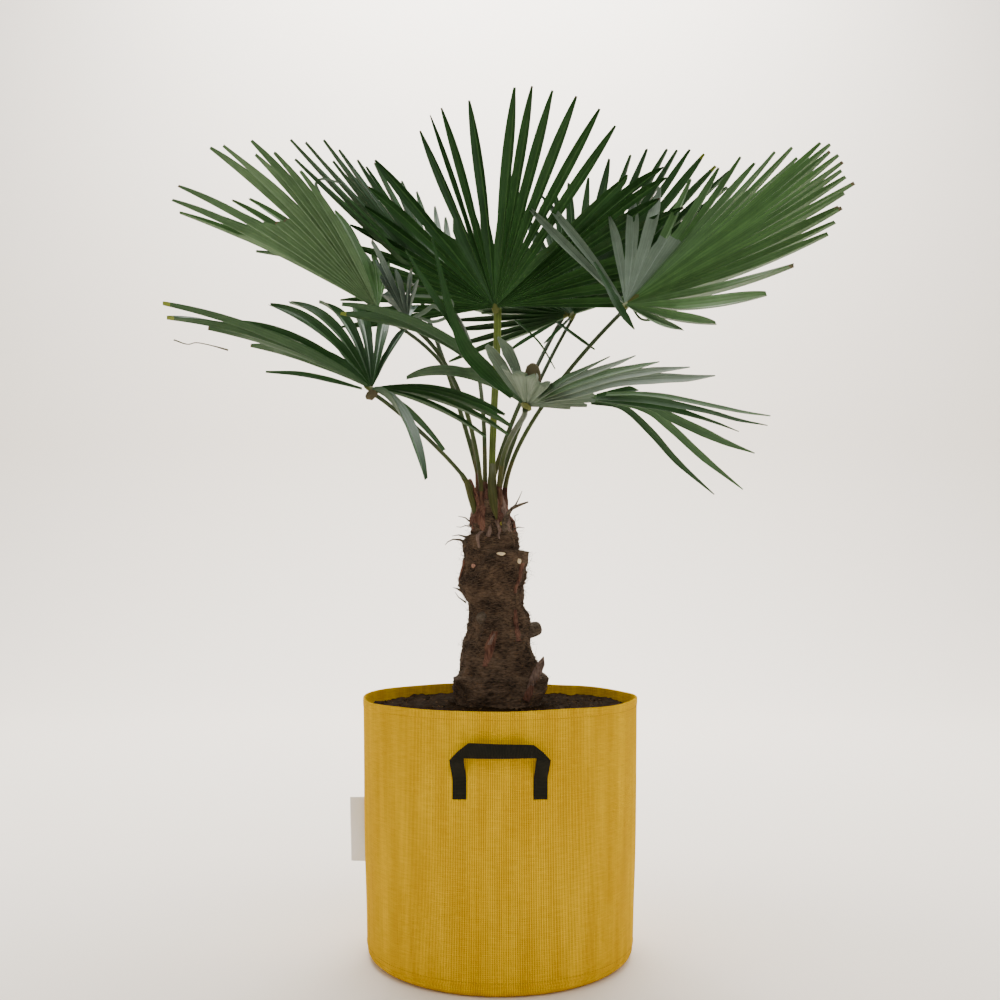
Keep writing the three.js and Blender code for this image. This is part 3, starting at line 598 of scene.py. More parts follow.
def tube(path, across, radius, sides, flat=1.0):
    """A closed tube of rings along a path. `across` fixes how its rings are turned, and `flat` squashes it."""
    tangent = np.gradient(path, axis=0)
    tangent /= np.linalg.norm(tangent, axis=1)[:, None]
    side = np.cross(tangent, across)
    side /= np.linalg.norm(side, axis=1)[:, None]
    upper = np.cross(side, tangent)
    turn = np.arange(sides) * 2 * math.pi / sides
    ring = side[:, None] * np.cos(turn)[None, :, None] + upper[:, None] * (np.sin(turn) * flat)[None, :, None]
    radius = np.broadcast_to(radius, len(path))
    rings = path[:, None] + ring * radius[:, None, None]
    ends = [np.repeat(path[:1], sides, 0)[None], rings, np.repeat(path[-1:], sides, 0)[None]]
    return close_poles(np.concatenate(ends), sides, len(path) + 2)


def on_trunk(bearing, height, lift):
    """Places on the trunk's skin from a bearing in degrees, a height and a lift in millimetres."""
    turn, up = np.radians(np.asarray(bearing, float)), np.asarray(height, float) / 1000
    out = np.stack([np.cos(turn), np.sin(turn), 0 * turn], -1)
    return trunk_surface(turn, up) + out * (np.asarray(lift, float) / 1000)[..., None], out


# Cut leaf bases stand out as blunt stubs: bearing, height, length, radius and the rise of each.
trunk_pieces = []
for bearing, height, length, radius, rise in [
    (-4, 569, 22, 14.5, 16), (-60, 752, 9, 7, 50), (150, 640, 10, 11, 40), (80, 690, 12, 11, 40),
    (235, 590, 11, 11, 40),
]:
    root, out = on_trunk([bearing], [height], [-7.0])
    axis = out[0] * math.cos(math.radians(rise)) + np.array([0, 0, math.sin(math.radians(rise))])
    along = np.array([0, 0.35, 0.6, 0.8, 0.93, 1.0])
    swell = np.array([1.0, 0.98, 0.94, 0.86, 0.66, 0.34]) * radius / 1000
    path = root + axis * (along * (length + 7) / 1000)[:, None]
    trunk_pieces.append((*tube(path, np.array([0.1, 0.2, 1.0]), swell, 14), 0))

# A petiole cut to a knobbed stub, and a dead twig that forks.
for course, radii, slot in [
    ([(-36, -20, 796), (-44, -26, 818), (-50, -30, 836), (-55, -32, 845), (-56, -32, 849)],
     (4.5, 4, 3.2, 4.4, 2.5), 1),
    ([(4, -26, 758), (10, -40, 774), (19, -52, 790), (29, -58, 799)], (6.5, 5.2, 3.4, 2.2), 0),
    ([(27, -58, 797), (34, -60, 810), (40, -61, 824)], (1.7, 1.1, 0.6), 0),
    ([(20, -54, 792), (36, -60, 799), (51, -63, 804)], (3.2, 2.7, 1.4), 0),
    ([(-50, -24, 762), (-64, -30, 763), (-72, -30, 760), (-80, -30, 761)], (1.6, 1.1, 0.8, 0.5), 0),
    ([(-62, -24, 731), (-73, -30, 737), (-86, -30, 738), (-96, -30, 733), (-101, -30, 727)],
     (3.4, 2.2, 1.4, 1.0, 0.5), 0),
    ([(-60, -24, 742), (-76, -30, 746), (-88, -30, 744)], (2.4, 1.2, 0.5), 0),
    ([(-66, -18, 640), (-79, -20, 648), (-87, -20, 650)], (3.4, 1.6, 0.5), 0),
    ([(-62, -18, 622), (-76, -20, 632), (-83, -20, 642)], (2.0, 1.1, 0.4), 0),
    ([(24, -24, 756), (33, -30, 760), (45, -30, 759)], (1.8, 1.0, 0.4), 0),
    ([(18, -24, 764), (28, -30, 772), (27, -30, 781), (34, -30, 784)], (1.6, 1.0, 0.8, 0.4), 0),
    ([(-52, 30, 770), (-66, 36, 782), (-80, 40, 785)], (2.2, 1.3, 0.5), 0),
    ([(10, 44, 756), (22, 56, 764), (27, 62, 776)], (2.4, 1.4, 0.5), 0),
]:
    path = np.array(course, float) / 1000
    trunk_pieces.append((*tube(path, np.array([0.3, 1.0, 0.2]), np.array(radii) / 1000, 8), slot))

# Stiff flat husks that stand off the skin with a pointed end: course, half widths and look.
for course, halves, slot in [
    ([(50, -66, 470), (58, -66, 484), (67, -65, 501), (74, -62, 515), (78, -60, 527)], (3, 7, 8, 6.5, 0.8), 2),
    ([(46, -68, 450), (51, -68, 462), (57, -67, 476)], (6, 7, 4), 1),
    ([(-40, -74, 452), (-34, -72, 470), (-29, -70, 490)], (4, 6, 1), 2),
    ([(-22, -48, 742), (-19, -48, 752), (-17, -46, 764)], (4, 4, 1), 2),
]:
    path, halves = np.array(course, float) / 1000, np.array(halves) / 1000
    trunk_pieces.append((*tube(path, np.array([0.25, 1.0, 0.15]), halves, 10, flat=0.22), slot))

# Pale scars where bases were cut off: bearing, height, half width and half height, and the look of each.
for bearing, height, half_width, half_height, slot in [
    (-83, 710, 8.5, 3.2, 3), (-45, 697, 6.5, 5.2, 3), (-137, 689, 6, 4, 4), (-62, 766, 6, 4, 5),
    (60, 668, 6, 3, 3), (118, 712, 5, 3.5, 4),
]:
    middle, out = on_trunk([bearing], [height], [4.2])
    aside = np.cross(out[0], (0, 0, 1))
    up = np.array([0, 0, half_height])
    ring = [middle[0] + (aside * half_width * x + up * z + out[0] * y) / 1000 for x, z, y in [
        (1, 0.3, -3), (0.5, 1, -2), (-0.6, 0.9, -2), (-1, 0.1, -3), (-0.3, -1, -2), (0.6, -0.7, -2)]]
    points = np.array(ring + [middle[0] + out[0] * 0.0014, middle[0] - out[0] * 0.008])
    turns = np.arange(6)
    fronts = np.stack([np.full(6, 6), (turns + 1) % 6, turns], -1)
    backs = np.stack([np.full(6, 7), turns, (turns + 1) % 6], -1)
    trunk_pieces.append((points, [np.concatenate([fronts, backs])], slot))


def bark_strip(places, widths):
    """A stiff dead sheath lying on the trunk: a closed strip through bearings, heights and lifts."""
    places = np.array(places, float)
    steps = np.linspace(0, len(places) - 1, 5 * (len(places) - 1) + 1)
    bearing, height, lift = (np.interp(steps, np.arange(len(places)), places[:, k]) for k in range(3))
    half = np.interp(steps, np.arange(len(places)), widths) / 2000
    middle, out = on_trunk(bearing, height, lift)
    aside = np.cross(out, (0, 0, 1))
    rows = [middle + aside * (half * share)[:, None] + out * (0.0012 - 0.002 * share * share)
            for share in (-1, -0.4, 0.4, 1)]
    ring = np.stack(rows + [row - out * 0.0016 for row in rows[::-1]], axis=1)
    return ring.reshape(-1, 3), [strip_faces(len(steps), 8, turned=True)]


for places, widths, slot in [
    ([(-97, 572, 2), (-104, 545, 4), (-112, 510, 3)], (11, 19, 9), 1),
    ([(-97, 568, 5), (-104, 548, 6)], (3, 8), 2),
    ([(-36, 694, 3), (-38, 668, 3), (-42, 640, 2)], (12, 11, 6), 1),
    ([(-50, 610, 2), (-56, 554, 2)], (8, 12), 1),
    ([(150, 600, 2), (160, 550, 3)], (16, 7), 1), ([(70, 560, 2), (78, 515, 2)], (10, 14), 2),
    ([(-118, 752, 3), (-116, 722, 3)], (9, 4), 2), ([(-78, 772, 4), (-72, 738, 4)], (8, 3), 2),
    ([(20, 700, 3), (30, 640, 2)], (13, 8), 2), ([(195, 700, 3), (188, 655, 2)], (12, 9), 1),
] + [([(turn, 752, -1), (turn + 3, 785, 3), (turn + 4, 812, 1), (turn + 4, top, inward)], (17, 18, 13, 3), slot)
     for turn, top, inward, slot in [
         (-172, 828, -6, 2), (-143, 836, -8, 1), (-121, 842, -9, 1), (-66, 834, -8, 1), (-42, 838, -8, 2),
         (-14, 826, -5, 1), (18, 836, -8, 1), (52, 828, -6, 2), (84, 840, -9, 1), (116, 832, -7, 2),
         (150, 838, -8, 1)]]:
    trunk_pieces.append((*bark_strip(places, widths), slot))


def scar_material(name, tint, speckle):
    """Dry cut wood: a pale tint with darker specks of fibre."""
    made, tree, principled = new_material(name, roughness=0.9, specular=0.1)
    specks = add_node(tree, "TexNoise", add_node(tree, "TexCoord", out=3), None, 420.0, 3.0)
    two_tones(tree, principled, specks, speckle, tint, 0.3, 0.55)
    return made


trunk_looks = [
    bark_material("dead_base", srgb(46, 37, 30), srgb(112, 100, 86), (160.0, 160.0, 160.0)),
    bark_material("red_sheath", srgb(60, 36, 28), srgb(128, 92, 76), (420.0, 420.0, 60.0), 0.8),
    bark_material("grey_husk", srgb(74, 58, 50), srgb(140, 118, 106), (420.0, 420.0, 60.0), 0.85),
    scar_material("cream_scar", srgb(232, 214, 176), srgb(180, 150, 110)),
    scar_material("pink_scar", srgb(176, 132, 112), srgb(110, 78, 62)),
    scar_material("green_cut", srgb(150, 146, 70), srgb(92, 88, 44)),
]
starts = np.cumsum([0] + [len(piece[0]) for piece in trunk_pieces[:-1]])
piece_points = np.concatenate([piece[0] for piece in trunk_pieces])
piece_faces = [faces + start for piece, start in zip(trunk_pieces, starts) for faces in piece[1]]
piece_slots = np.concatenate([np.full(len(faces), piece[2]) for piece in trunk_pieces for faces in piece[1]])
stubs = put_mesh("trunk_stubs", piece_points, piece_faces, trunk_looks, piece_slots)
stubs.data.set_sharp_from_angle(angle=math.radians(50))
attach(stubs, "root")

# Loose fibres: most lie round the trunk, and some stand off it as curved hairs.
FIBRES, FIBRE_STEPS = 2200, 6
fibre_rng = np.random.default_rng(23)
fibre_bearing = fibre_rng.uniform(0, 2 * math.pi, FIBRES)
fibre_height = fibre_rng.triangular(0.45, 0.74, 0.792, FIBRES)
fibre_length = fibre_rng.uniform(0.006, 0.03, FIBRES)
fibre_lean = fibre_rng.normal(0, 0.75, FIBRES) + math.pi * (fibre_rng.random(FIBRES) < 0.5)
fibre_out = 0.001 + 0.015 * fibre_rng.random(FIBRES) ** 4
fibre_share = np.linspace(0, 1, FIBRE_STEPS)[None, :]
fibre_run = fibre_length[:, None] * fibre_share
fibre_turn = fibre_bearing[:, None] + fibre_run * np.cos(fibre_lean)[:, None] / 0.055
fibre_up = fibre_height[:, None] + fibre_run * np.sin(fibre_lean)[:, None]
fibre_up = np.clip(fibre_up + 0.006 * fibre_share ** 2 * fibre_rng.normal(0, 1, (FIBRES, 1)), 0.442, 0.81)
fibre_lift = 1000 * fibre_out[:, None] * fibre_share ** 1.6
fibre_path, fibre_away = on_trunk(np.degrees(fibre_turn), fibre_up * 1000, fibre_lift)
fibre_thick = (0.00042 * (1 - 0.7 * fibre_share))[..., None]
fibre_ring = np.stack([
    fibre_path + fibre_thick * (fibre_away * math.cos(turn) + np.array([0, 0, 1.0]) * math.sin(turn))
    for turn in (0, 2.1, 4.2)
], axis=2)
fibre_quads = grid_faces(FIBRE_STEPS, 3)
fibre_ends = np.array([(2, 1, 0), (3 * FIBRE_STEPS - 3, 3 * FIBRE_STEPS - 2, 3 * FIBRE_STEPS - 1)])
fibre_starts = np.arange(FIBRES)[:, None, None] * 3 * FIBRE_STEPS
fibre_faces = [(fibre_starts + quads).reshape(-1, quads.shape[1]) for quads in (fibre_quads, fibre_ends)]
fibre_tone = (fibre_rng.random(FIBRES) < 0.4).astype(int)
fibre_slots = np.concatenate([np.repeat(fibre_tone, len(fibre_quads)), np.repeat(fibre_tone, 2)])
fibre_looks = [scar_material("fibre_dark", srgb(62, 48, 37), srgb(38, 29, 22)),
               scar_material("fibre_pale", srgb(110, 94, 78), srgb(78, 64, 52))]
fibres = put_mesh("trunk_fibres", fibre_ring.reshape(-1, 3), fibre_faces, fibre_looks, fibre_slots)
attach(fibres, "root")

# ---- Leaf stalks ----
# Long, slightly angular stalks rise from the top of the trunk, brown-sheathed and olive at the foot, darker
# green further up, and each ends under its blade in a small yellow-green lump.
LEAVES = [
    # Hubs, reaches and radii are in millimetres and angles in degrees. A foot is a bearing and a distance from
    # the middle of the trunk's top.
    dict(hub=(-10, 154, 1221), heading=76, rise=96, roll=10, left=94, right=94, reach=437, side_reach=0.61,
         lopside=-0.07, fold=0, cup=0.05, droop=0.04, side_droop=0.7, fingers=26, seed=110, foot=(75, 12),
         bend=(0.35, 0.21), radii=(8, 8.5), look="deep"),
    dict(hub=(-241, 83, 1198), heading=181, rise=32, roll=14, left=123, right=85, reach=433, side_reach=0.69,
         lopside=0.07, fold=32, cup=-0.11, droop=0, side_droop=0, fingers=26, seed=51, foot=(155, 24),
         bend=(0.58, 0.25), radii=(6.5, 4.2), look="lit_green"),
    dict(hub=(-104, 283, 1265), heading=160, rise=53, roll=11, left=52, right=98, reach=434, side_reach=0.94,
         lopside=0.1, fold=2, cup=0.05, droop=0, side_droop=0, fingers=20, seed=116, foot=(175, 9),
         bend=(0.3, 0.25), radii=(6, 4.5), look="deep"),
    dict(hub=(-155, -219, 1099), heading=206, rise=22, roll=17, left=72, right=107, reach=249, side_reach=0.79,
         lopside=0.11, fold=32, cup=0.17, droop=0.35, side_droop=0.2, fingers=18, seed=72, foot=(234, 26),
         bend=(0.18, 0.32), radii=(6, 4.5), look="grey"),
    dict(hub=(-205, -294, 968), heading=171, rise=29, roll=20, left=142, right=148, reach=367, side_reach=0.6,
         lopside=0, fold=27, cup=-0.13, droop=0.12, side_droop=0.5, fingers=26, seed=17, foot=(200, 27.5),
         bend=(0.1, 0.15), radii=(6, 4.2), look="deep"),
    dict(hub=(149, 179, 1213), heading=11, rise=59, roll=-32, left=125, right=78, reach=401, side_reach=0.64,
         lopside=-0.04, fold=3, cup=0.08, droop=0.01, side_droop=0.3, fingers=26, seed=25, foot=(53, 26),
         bend=(0.14, 0.3), radii=(6.5, 4), look="deep"),
    dict(hub=(218, -157, 1142), heading=32, rise=42, roll=-15, left=64, right=126, reach=400, side_reach=0.92,
         lopside=-0.07, fold=9, cup=0.19, droop=0.07, side_droop=0.5, fingers=23, seed=102, foot=(358, 27),
         bend=(0.27, 0.32), radii=(6.5, 4), look="lit_green"),
    dict(hub=(41, -362, 928), heading=-98, rise=16, roll=22, left=113, right=134, reach=404, side_reach=0.66,
         lopside=-0.03, fold=24, cup=-0.12, droop=0.14, side_droop=1.1, fingers=24, seed=66, foot=(310, 27),
         bend=(0.35, 0.13), radii=(6.5, 4.5), look="deep"),
    dict(hub=(185, 286, 1304), heading=40, rise=25, roll=-5, left=105, right=105, reach=376, side_reach=0.9,
         lopside=0.01, fold=1, cup=0, droop=0.07, side_droop=0, fingers=26, seed=182, foot=(90, 27),
         bend=(0.16, 0.11), radii=(6.5, 4.5), look="deep"),
    dict(hub=(-185, 286, 1304), heading=140, rise=25, roll=5, left=105, right=105, reach=376, side_reach=0.9,
         lopside=-0.01, fold=1, cup=0, droop=0.07, side_droop=0, fingers=26, seed=23, foot=(122, 27),
         bend=(0.11, 0.05), radii=(6.5, 4.5), look="deep"),
]


def leaf_axes(leaf):
    """The blade's three directions: along its middle finger, to its left, and off its upper side."""
    heading, rise, roll = (math.radians(leaf[key]) for key in ("heading", "rise", "roll"))
    ahead = np.array([math.cos(rise) * math.cos(heading), math.cos(rise) * math.sin(heading), math.sin(rise)])
    off = np.array([-math.sin(rise) * math.cos(heading), -math.sin(rise) * math.sin(heading), math.cos(rise)])
    left = np.cross(off, ahead)
    upper = math.cos(roll) * off + math.sin(roll) * left
    return ahead, math.cos(roll) * left - math.sin(roll) * off, upper


def stalk_path(leaf, share):
    """A cubic curve: it leaves the trunk upright and arrives under the hub in line with the blade."""
    ahead, _, upper = leaf_axes(leaf)
    hub = np.array(leaf["hub"]) / 1000
    half = leaf["reach"] / 1000 * 0.0115 / 2 / math.cos(math.radians(leaf["fold"]))
    end = hub - upper * (half + 0.0005 + leaf["radii"][1] / 1000)
    bearing, distance = math.radians(leaf["foot"][0]), leaf["foot"][1] / 1000
    foot = np.array([-0.019 + math.cos(bearing) * distance, math.sin(bearing) * distance, 0.8125])
    length = np.linalg.norm(end - foot)
    rising = foot + np.array([0, 0, 1]) * length * leaf["bend"][0]
    arriving = end - ahead * length * leaf["bend"][1]
    t = share[:, None]
    return (1 - t) ** 3 * foot + 3 * (1 - t) ** 2 * t * rising + 3 * (1 - t) * t * t * arriving + t ** 3 * end


VEIN_PACE = 2600.0


def green_material(name, tint, vein, roughness):
    """Leaf or stalk green with fine lengthwise veins and slow, faint changes of tint."""
    made, tree, principled = new_material(name, roughness=roughness, specular=0.14)
    across, _, _ = add_node(tree, "SeparateXYZ", add_node(tree, "UVMap")).node.outputs
    veins = wave(tree, across, VEIN_PACE)
    slow = add_node(tree, "TexNoise", add_node(tree, "TexCoord", out=3), None, 26.0, 3.0)
    darker, lighter = ((*(part * (1 + change) for part in tint[:3]), 1) for change in (-vein, vein))
    two_tones(tree, principled, plus(tree, times(tree, veins, 0.12), slow), darker, lighter, 0.3, 0.7)
    bump_node(tree, principled, veins, 0.0003, 0.3)
    return made


stalk_looks = [
    bark_material("stalk_sheath", srgb(54, 36, 27), srgb(104, 76, 60), (300.0, 300.0, 60.0), 0.8),
    green_material("stalk_foot_olive", srgb(66, 68, 34), 0.2, 0.6),
    green_material("stalk_green", srgb(56, 68, 36), 0.2, 0.6),
    green_material("stalk_dark_green", srgb(48, 60, 36), 0.2, 0.6),
    green_material("stalk_middle_olive", srgb(84, 98, 38), 0.25, 0.55),
]


def put_stalk(name, path, across, radius, flat, slots):
    """One stalk, a flattened tube of twelve sides whose fine veins run lengthwise."""
    points, faces = tube(path, across, radius, 12, flat)
    turn = np.tile(np.arange(12) / 12 * 0.02, len(path))
    uv = np.stack([np.concatenate([[0], turn, [0]]), np.zeros(len(points))], -1)
    return put_mesh(name, points, faces, stalk_looks, slots, uv)


SHADES = np.array([0.06, 0.2, 0.5])
for number, leaf in enumerate(LEAVES, 1):
    along = np.concatenate([[0, 0], np.linspace(0, 1, 44)])
    path = stalk_path(leaf, along)
    path[:2] += np.array([[0, 0, -0.014], [0, 0, -0.006]])
    low, high = (leaf["radii"][0] * 0.8) / 1000, leaf["radii"][1] / 1000
    radius = low + (high - low) * along + 0.0028 * np.exp(-along / 0.035)
    row_slot = np.searchsorted(SHADES, (along[1:] + along[:-1]) / 2)
    if number == 1:
        row_slot = np.where(row_slot > 0, 4, 0)
    slots = np.concatenate([np.repeat(row_slot, 12), np.zeros(12, int), np.full(12, 3)])
    stalk = put_stalk(f"petiole_{number:02d}", path, leaf_axes(leaf)[2], radius, 0.82, slots)
    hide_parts(f"stalk_{number:02d}")
    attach(stalk, "root")

# The middle stalk and the lowest left one run down the outside of the trunk to a point: course and radii.
for side_name, course, radii in [
    ("middle", [(-6, -40, 774), (-9, -40, 788), (-12, -36, 804), (-14, -25, 824), (-15, -8, 850),
                (-14, 4, 880)], (1.5, 5, 8, 9, 8.5, 6)),
    ("left", [(-45, -20, 778), (-47, -20, 790), (-50, -20, 802), (-54, -26, 818), (-60, -44, 840),
              (-70, -68, 855)], (1.5, 4.5, 6, 6.5, 6, 4.5)),
]:
    path = np.array(course, float) / 1000
    slots = np.full(12 * (len(path) + 1), 1)
    across, radius = np.array([0.2, 1.0, 0.1]), np.array(radii) / 1000
    foot = put_stalk(f"petiole_{side_name}_foot", path, across, radius, 0.75, slots)
    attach(foot, "root")

# ---- Fan leaves ----
# Each blade is a round fan of pleated fingers, joined near the stalk and free further out. A finger is
# widest where it parts from its neighbours and narrows to a blunt tip; some tips are brown.
frame_trees = {
    name: BVHTree.FromPolygons([v.co.copy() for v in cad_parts[name].data.vertices],
                               [tuple(p.vertices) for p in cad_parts[name].data.polygons])
    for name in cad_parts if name.startswith("frond_")
}


def drawn(number):
    """A repeatable number between -0.5 and 0.5 for each whole number."""
    value = np.sin(np.asarray(number) * 12.9898 + 4.1414) * 43758.5453
    return value - np.floor(value) - 0.5


def reach_at(leaf, angle):
    """How long a finger at that angle is: less towards the fan's edges, and a little lopsided."""
    return leaf["reach"] / 1000 * (1 - (1 - leaf["side_reach"]) * (np.abs(angle) / 150) ** 2) * (
        1 + leaf["lopside"] * np.sin(np.radians(angle)))


def blade_point(leaf, angle, distance, full):
    """A point of the blade at an angle in degrees and a distance from the hub. The two halves fold up, and
    cup and droop grow with the square of the distance over the finger's full reach."""
    ahead, left, upper = leaf_axes(leaf)
    turn, fold = np.radians(angle), math.radians(leaf["fold"])
    bend = distance * distance / full
    out = distance * np.abs(np.sin(turn)) * math.sin(fold) + leaf["cup"] * bend
    point = np.array(leaf["hub"]) / 1000 + (distance * np.cos(turn))[..., None] * ahead
    point = point + (distance * np.sin(turn) * math.cos(fold))[..., None] * left + out[..., None] * upper
    point[..., 2] -= leaf["droop"] * bend * (1 + leaf["side_droop"] * np.abs(angle) / 150)
    return point


def plain_fan(leaf):
    """Angles, reaches and the angles of the splits between them, by the rule that spreads fingers evenly and
    then shifts each a little."""
    count = leaf["fingers"]
    spacing = (leaf["left"] + leaf["right"]) / count
    index = np.arange(count)
    angle = leaf["left"] - spacing * (index + 0.5 + 0.35 * drawn(leaf["seed"] * 31 + index))
    reach = reach_at(leaf, angle) * (1 + 0.08 * drawn(leaf["seed"] * 57 + index + 100))
    split = np.concatenate([[angle[0] + spacing / 2], (angle[1:] + angle[:-1]) / 2, [angle[-1] - spacing / 2]])
    return angle, reach, split


def kept_shares(leaf, tree):
    """How much of each finger, and of the web at each split, the solid blade has: the furthest of a row of
    test points that lies on it."""
    def lies_on_it(at, full, tests, within):
        points = blade_point(leaf, np.full(len(tests), at), full * tests, full)
        return np.array([tree.find_nearest(Vector(point))[3] < within for point in points])

    angle, reach, split = plain_fan(leaf)
    kept_finger, kept_web = [], []
    for at, full in zip(angle, reach):
        tests = np.linspace(0.5, 1, 26)
        near = lies_on_it(at, full, tests, 0.006)
        kept_finger.append(tests[near].max() if near.any() else 0.0)
    for at in split:
        tests = np.linspace(0.06, 0.6, 28)
        near = lies_on_it(at, reach_at(leaf, at), tests, 0.0032)
        kept_web.append(tests[-1] if near.all() else tests[np.argmax(~near)])
    return angle, np.array(kept_finger), split, np.array(kept_web)


# Fingers with a place of their own: angle, share of the reach, how far out the split to its right starts,
# width and how far its tip is lifted in metres. Between them the rule fills in, but not in a bare stretch.
NAMED = {
    1: [(36.5, 1.07, 0.42), (21, 1, 0.38), (16.5, 1.04, 0.36, 0.5), (12.5, 1.04, 0.38), (4, 1.01, 0.29),
        (-8, 1.03, 0.58, 1.25), (-13, 1.03, 0.53), (-18.5, 1.02, 0.44), (-25.5, 1.02, 0.28), (-32, 1.01, 0.24),
        (-39, 0.98, 0.32), (-51, 0.86, 0.8), (-55, 1.01, 0.88), (-57.5, 1, 0.74), (-62, 0.93, 0.7)],
    2: [(66, 0.91, 0.5, 1.2), (61.5, 0.99, 0.55, 0.6), (56.5, 1.04, 0.92), (53.5, 0.95, 0.54),
        (45.5, 1.01, 0.86, 1.3), (40.5, 1.01, 0.56, 1.2), (34, 0.57, 0.56), (27, 0.58, 0.55), (20, 0.62, 0.6),
        (14, 1.01, 0.66, 0.6), (6, 1.04, 0.68, 0.5), (-1.5, 1.04, 0.66, 0.45), (-8, 0.9, 0.6, 0.5),
        (-18.5, 1.02, 0.6, 0.6)],
    3: [(44, 0.95, 0.4), (35.5, 1.02, 0.45), (25.5, 1, 0.5), (17, 0.9, 0.5, 0.7), (12, 1.05, 0.45), (5.5, 1.02, 0.4),
        (-2, 1.01, 0.42), (-11.5, 1.07, 0.45), (-22, 1.05, 0.4, 0.8), (-28, 1.04, 0.4, 0.8), (-35, 1.03, 0.4, 0.8)],
    4: [(68, 0.5, 0.2, 0.8), (62, 0.62, 0.25, 0.6), (53, 0.57, 0.24, 1.35), (46.5, 1, 0.22, 0.4),
        (44, 0.68, 0.24, 0.5), (40, 0.48, 0.24, 1.5), (-101, 0.4, 0.2, 0.6)],
    5: [(148, 0.85, 0.15, 0.9), (122.5, 1.26, 0.2, 1.1), (36.5, 1, 0.93, 1.3, 0.022), (33.5, 0.97, 0.6, 1.3),
        (17, 0.78, 0.5, 0.8), (0.5, 0.62, 0.35, 0.9), (-15, 0.89, 0.2, 0.6), (-31, 1.04, 0.3), (-39, 1.12, 0.25),
        (-47, 1.13, 0.25), (-55, 1.1, 0.25), (-64, 0.9, 0.25, 0.9), (-73, 0.75, 0.2, 0.6), (-131, 0.97, 0.86, 1.1),
        (-135.5, 1.03, 0.3, 0.8), (-140.5, 1.01, 0.15, 0.9), (-150.5, 0.89, 0.15, 0.6)],
    6: [(34, 1, 0.42), (25.5, 0.96, 0.4), (18.5, 1.03, 0.42), (10.5, 1.01, 0.45), (4, 1.03, 0.5), (-3.5, 1.02, 0.5),
        (-9, 1.01, 0.5, 0.8), (-14.5, 1.02, 0.45), (-22, 1.02, 0.5), (-30.5, 1, 0.5), (-42, 0.99, 0.55, 0.8)],
    7: [(60, 1.12, 0.3, 0.8), (54.5, 1.14, 0.25), (38.5, 0.78, 0.36, 1.2), (30, 0.9, 0.4, 1.2),
        (21.5, 0.91, 0.4, 1.2), (12, 0.94, 0.5, 0.8), (4, 1, 0.5, 0.8), (0, 1.07, 0.52, 0.8),
        (-12.5, 1.03, 0.5, 0.8), (-19, 1.03, 0.6, 0.8), (-29.5, 1.04, 0.82, 0.8), (-34, 1.04, 0.66, 0.7),
        (-39, 1, 0.7, 0.7), (-44, 1, 0.6, 0.7), (-49.5, 0.99, 0.62, 0.7), (-54.5, 0.97, 0.6, 0.7),
        (-60, 0.98, 0.55, 0.8), (-70, 0.99, 0.5, 0.8), (-80, 1.03, 0.42, 0.8), (-91, 1.08, 0.38, 1),
        (-100.5, 1.09, 0.3), (-110, 1.17, 0.2, 1.3), (-117, 1.08, 0.2, 0.9), (-121, 0.84, 0.2, 0.8)],
    8: [(96, 0.2, 0.14), (86, 0.27, 0.16), (76, 0.31, 0.18), (66, 0.32, 0.2), (55, 0.3, 0.2), (43, 0.27, 0.2),
        (28, 0.24, 0.2), (13, 0.3, 0.28, 1.2), (-2, 0.3, 0.26, 1.4), (-20, 0.26, 0.2), (-75.5, 1.04, 0.42, 0.8),
        (-79.5, 1.07, 0.36, 1.3), (-107.5, 0.92, 0.2, 1.3)],
}
BARE = {
    1: [(36.5, 21), (4, -8), (-39, -51)], 2: [(56.5, 13)], 3: [(25.5, 12)], 4: [(68, -101)],
    5: [(148, 122.5), (33.5, -31), (-140.5, -150.5)], 7: [(54.5, 38.5)],
    8: [(120, -20), (-79.5, -107.5)],
}
# Stretches where the blade is torn open down to the hub.
TORN = {
    2: [(130, 66)], 4: [(90, 68), (-101, -125)], 5: [(160, 122.5), (122.5, 36.5), (-73, -131), (-140.5, -160)],
    7: [(54.5, 38.5)], 8: [(-20, -75.5), (-107.5, -150)],
}


def inside(stretches, number, high, low):
    """Whether the way between two angles lies in one of the leaf's stretches."""
    return any(start >= high and low >= end for start, end in stretches.get(number, []))


def fan_plan(number, leaf):
    """All fingers of a leaf from left to right: the named ones, and between them as many more as the even
    spacing has room for, each shifted and shortened a little and cut back as the solid blade is."""
    spacing = (leaf["left"] + leaf["right"]) / (leaf["fingers"] * 1.25)
    cad_angle, cad_kept, cad_split, cad_web = kept_shares(leaf, frame_trees[f"frond_{number:02d}"])
    named = [entry + (1.0, 0.0)[len(entry) - 3:] + (0.35,) for entry in NAMED.get(number, [])]
    stops = [leaf["left"] + spacing / 2] + [entry[0] for entry in named] + [-leaf["right"] - spacing / 2]
    plan = list(named)
    for high, low in zip(stops, stops[1:]):
        if inside(BARE, number, high, low) or inside(TORN, number, high, low):
            continue
        more = int(round((high - low) / spacing)) - 1
        for k in range(1, more + 1):
            seed = leaf["seed"] * 31 + int(high * 3) + k
            at = high - (high - low) * (k + 0.3 * float(drawn(seed))) / (more + 1)
            kept = cad_kept[np.argmin(np.abs(cad_angle - at))]
            if kept >= 0.5:
                web = min(0.42 + 0.2 * float(drawn(seed + 5)), float(np.interp(-at, -cad_split, cad_web)))
                plan.append((at, float(kept) * (1 + 0.08 * float(drawn(seed + 9))), web, 1.0, 0.0, 1.0))
    return spacing, sorted(plan, reverse=True)
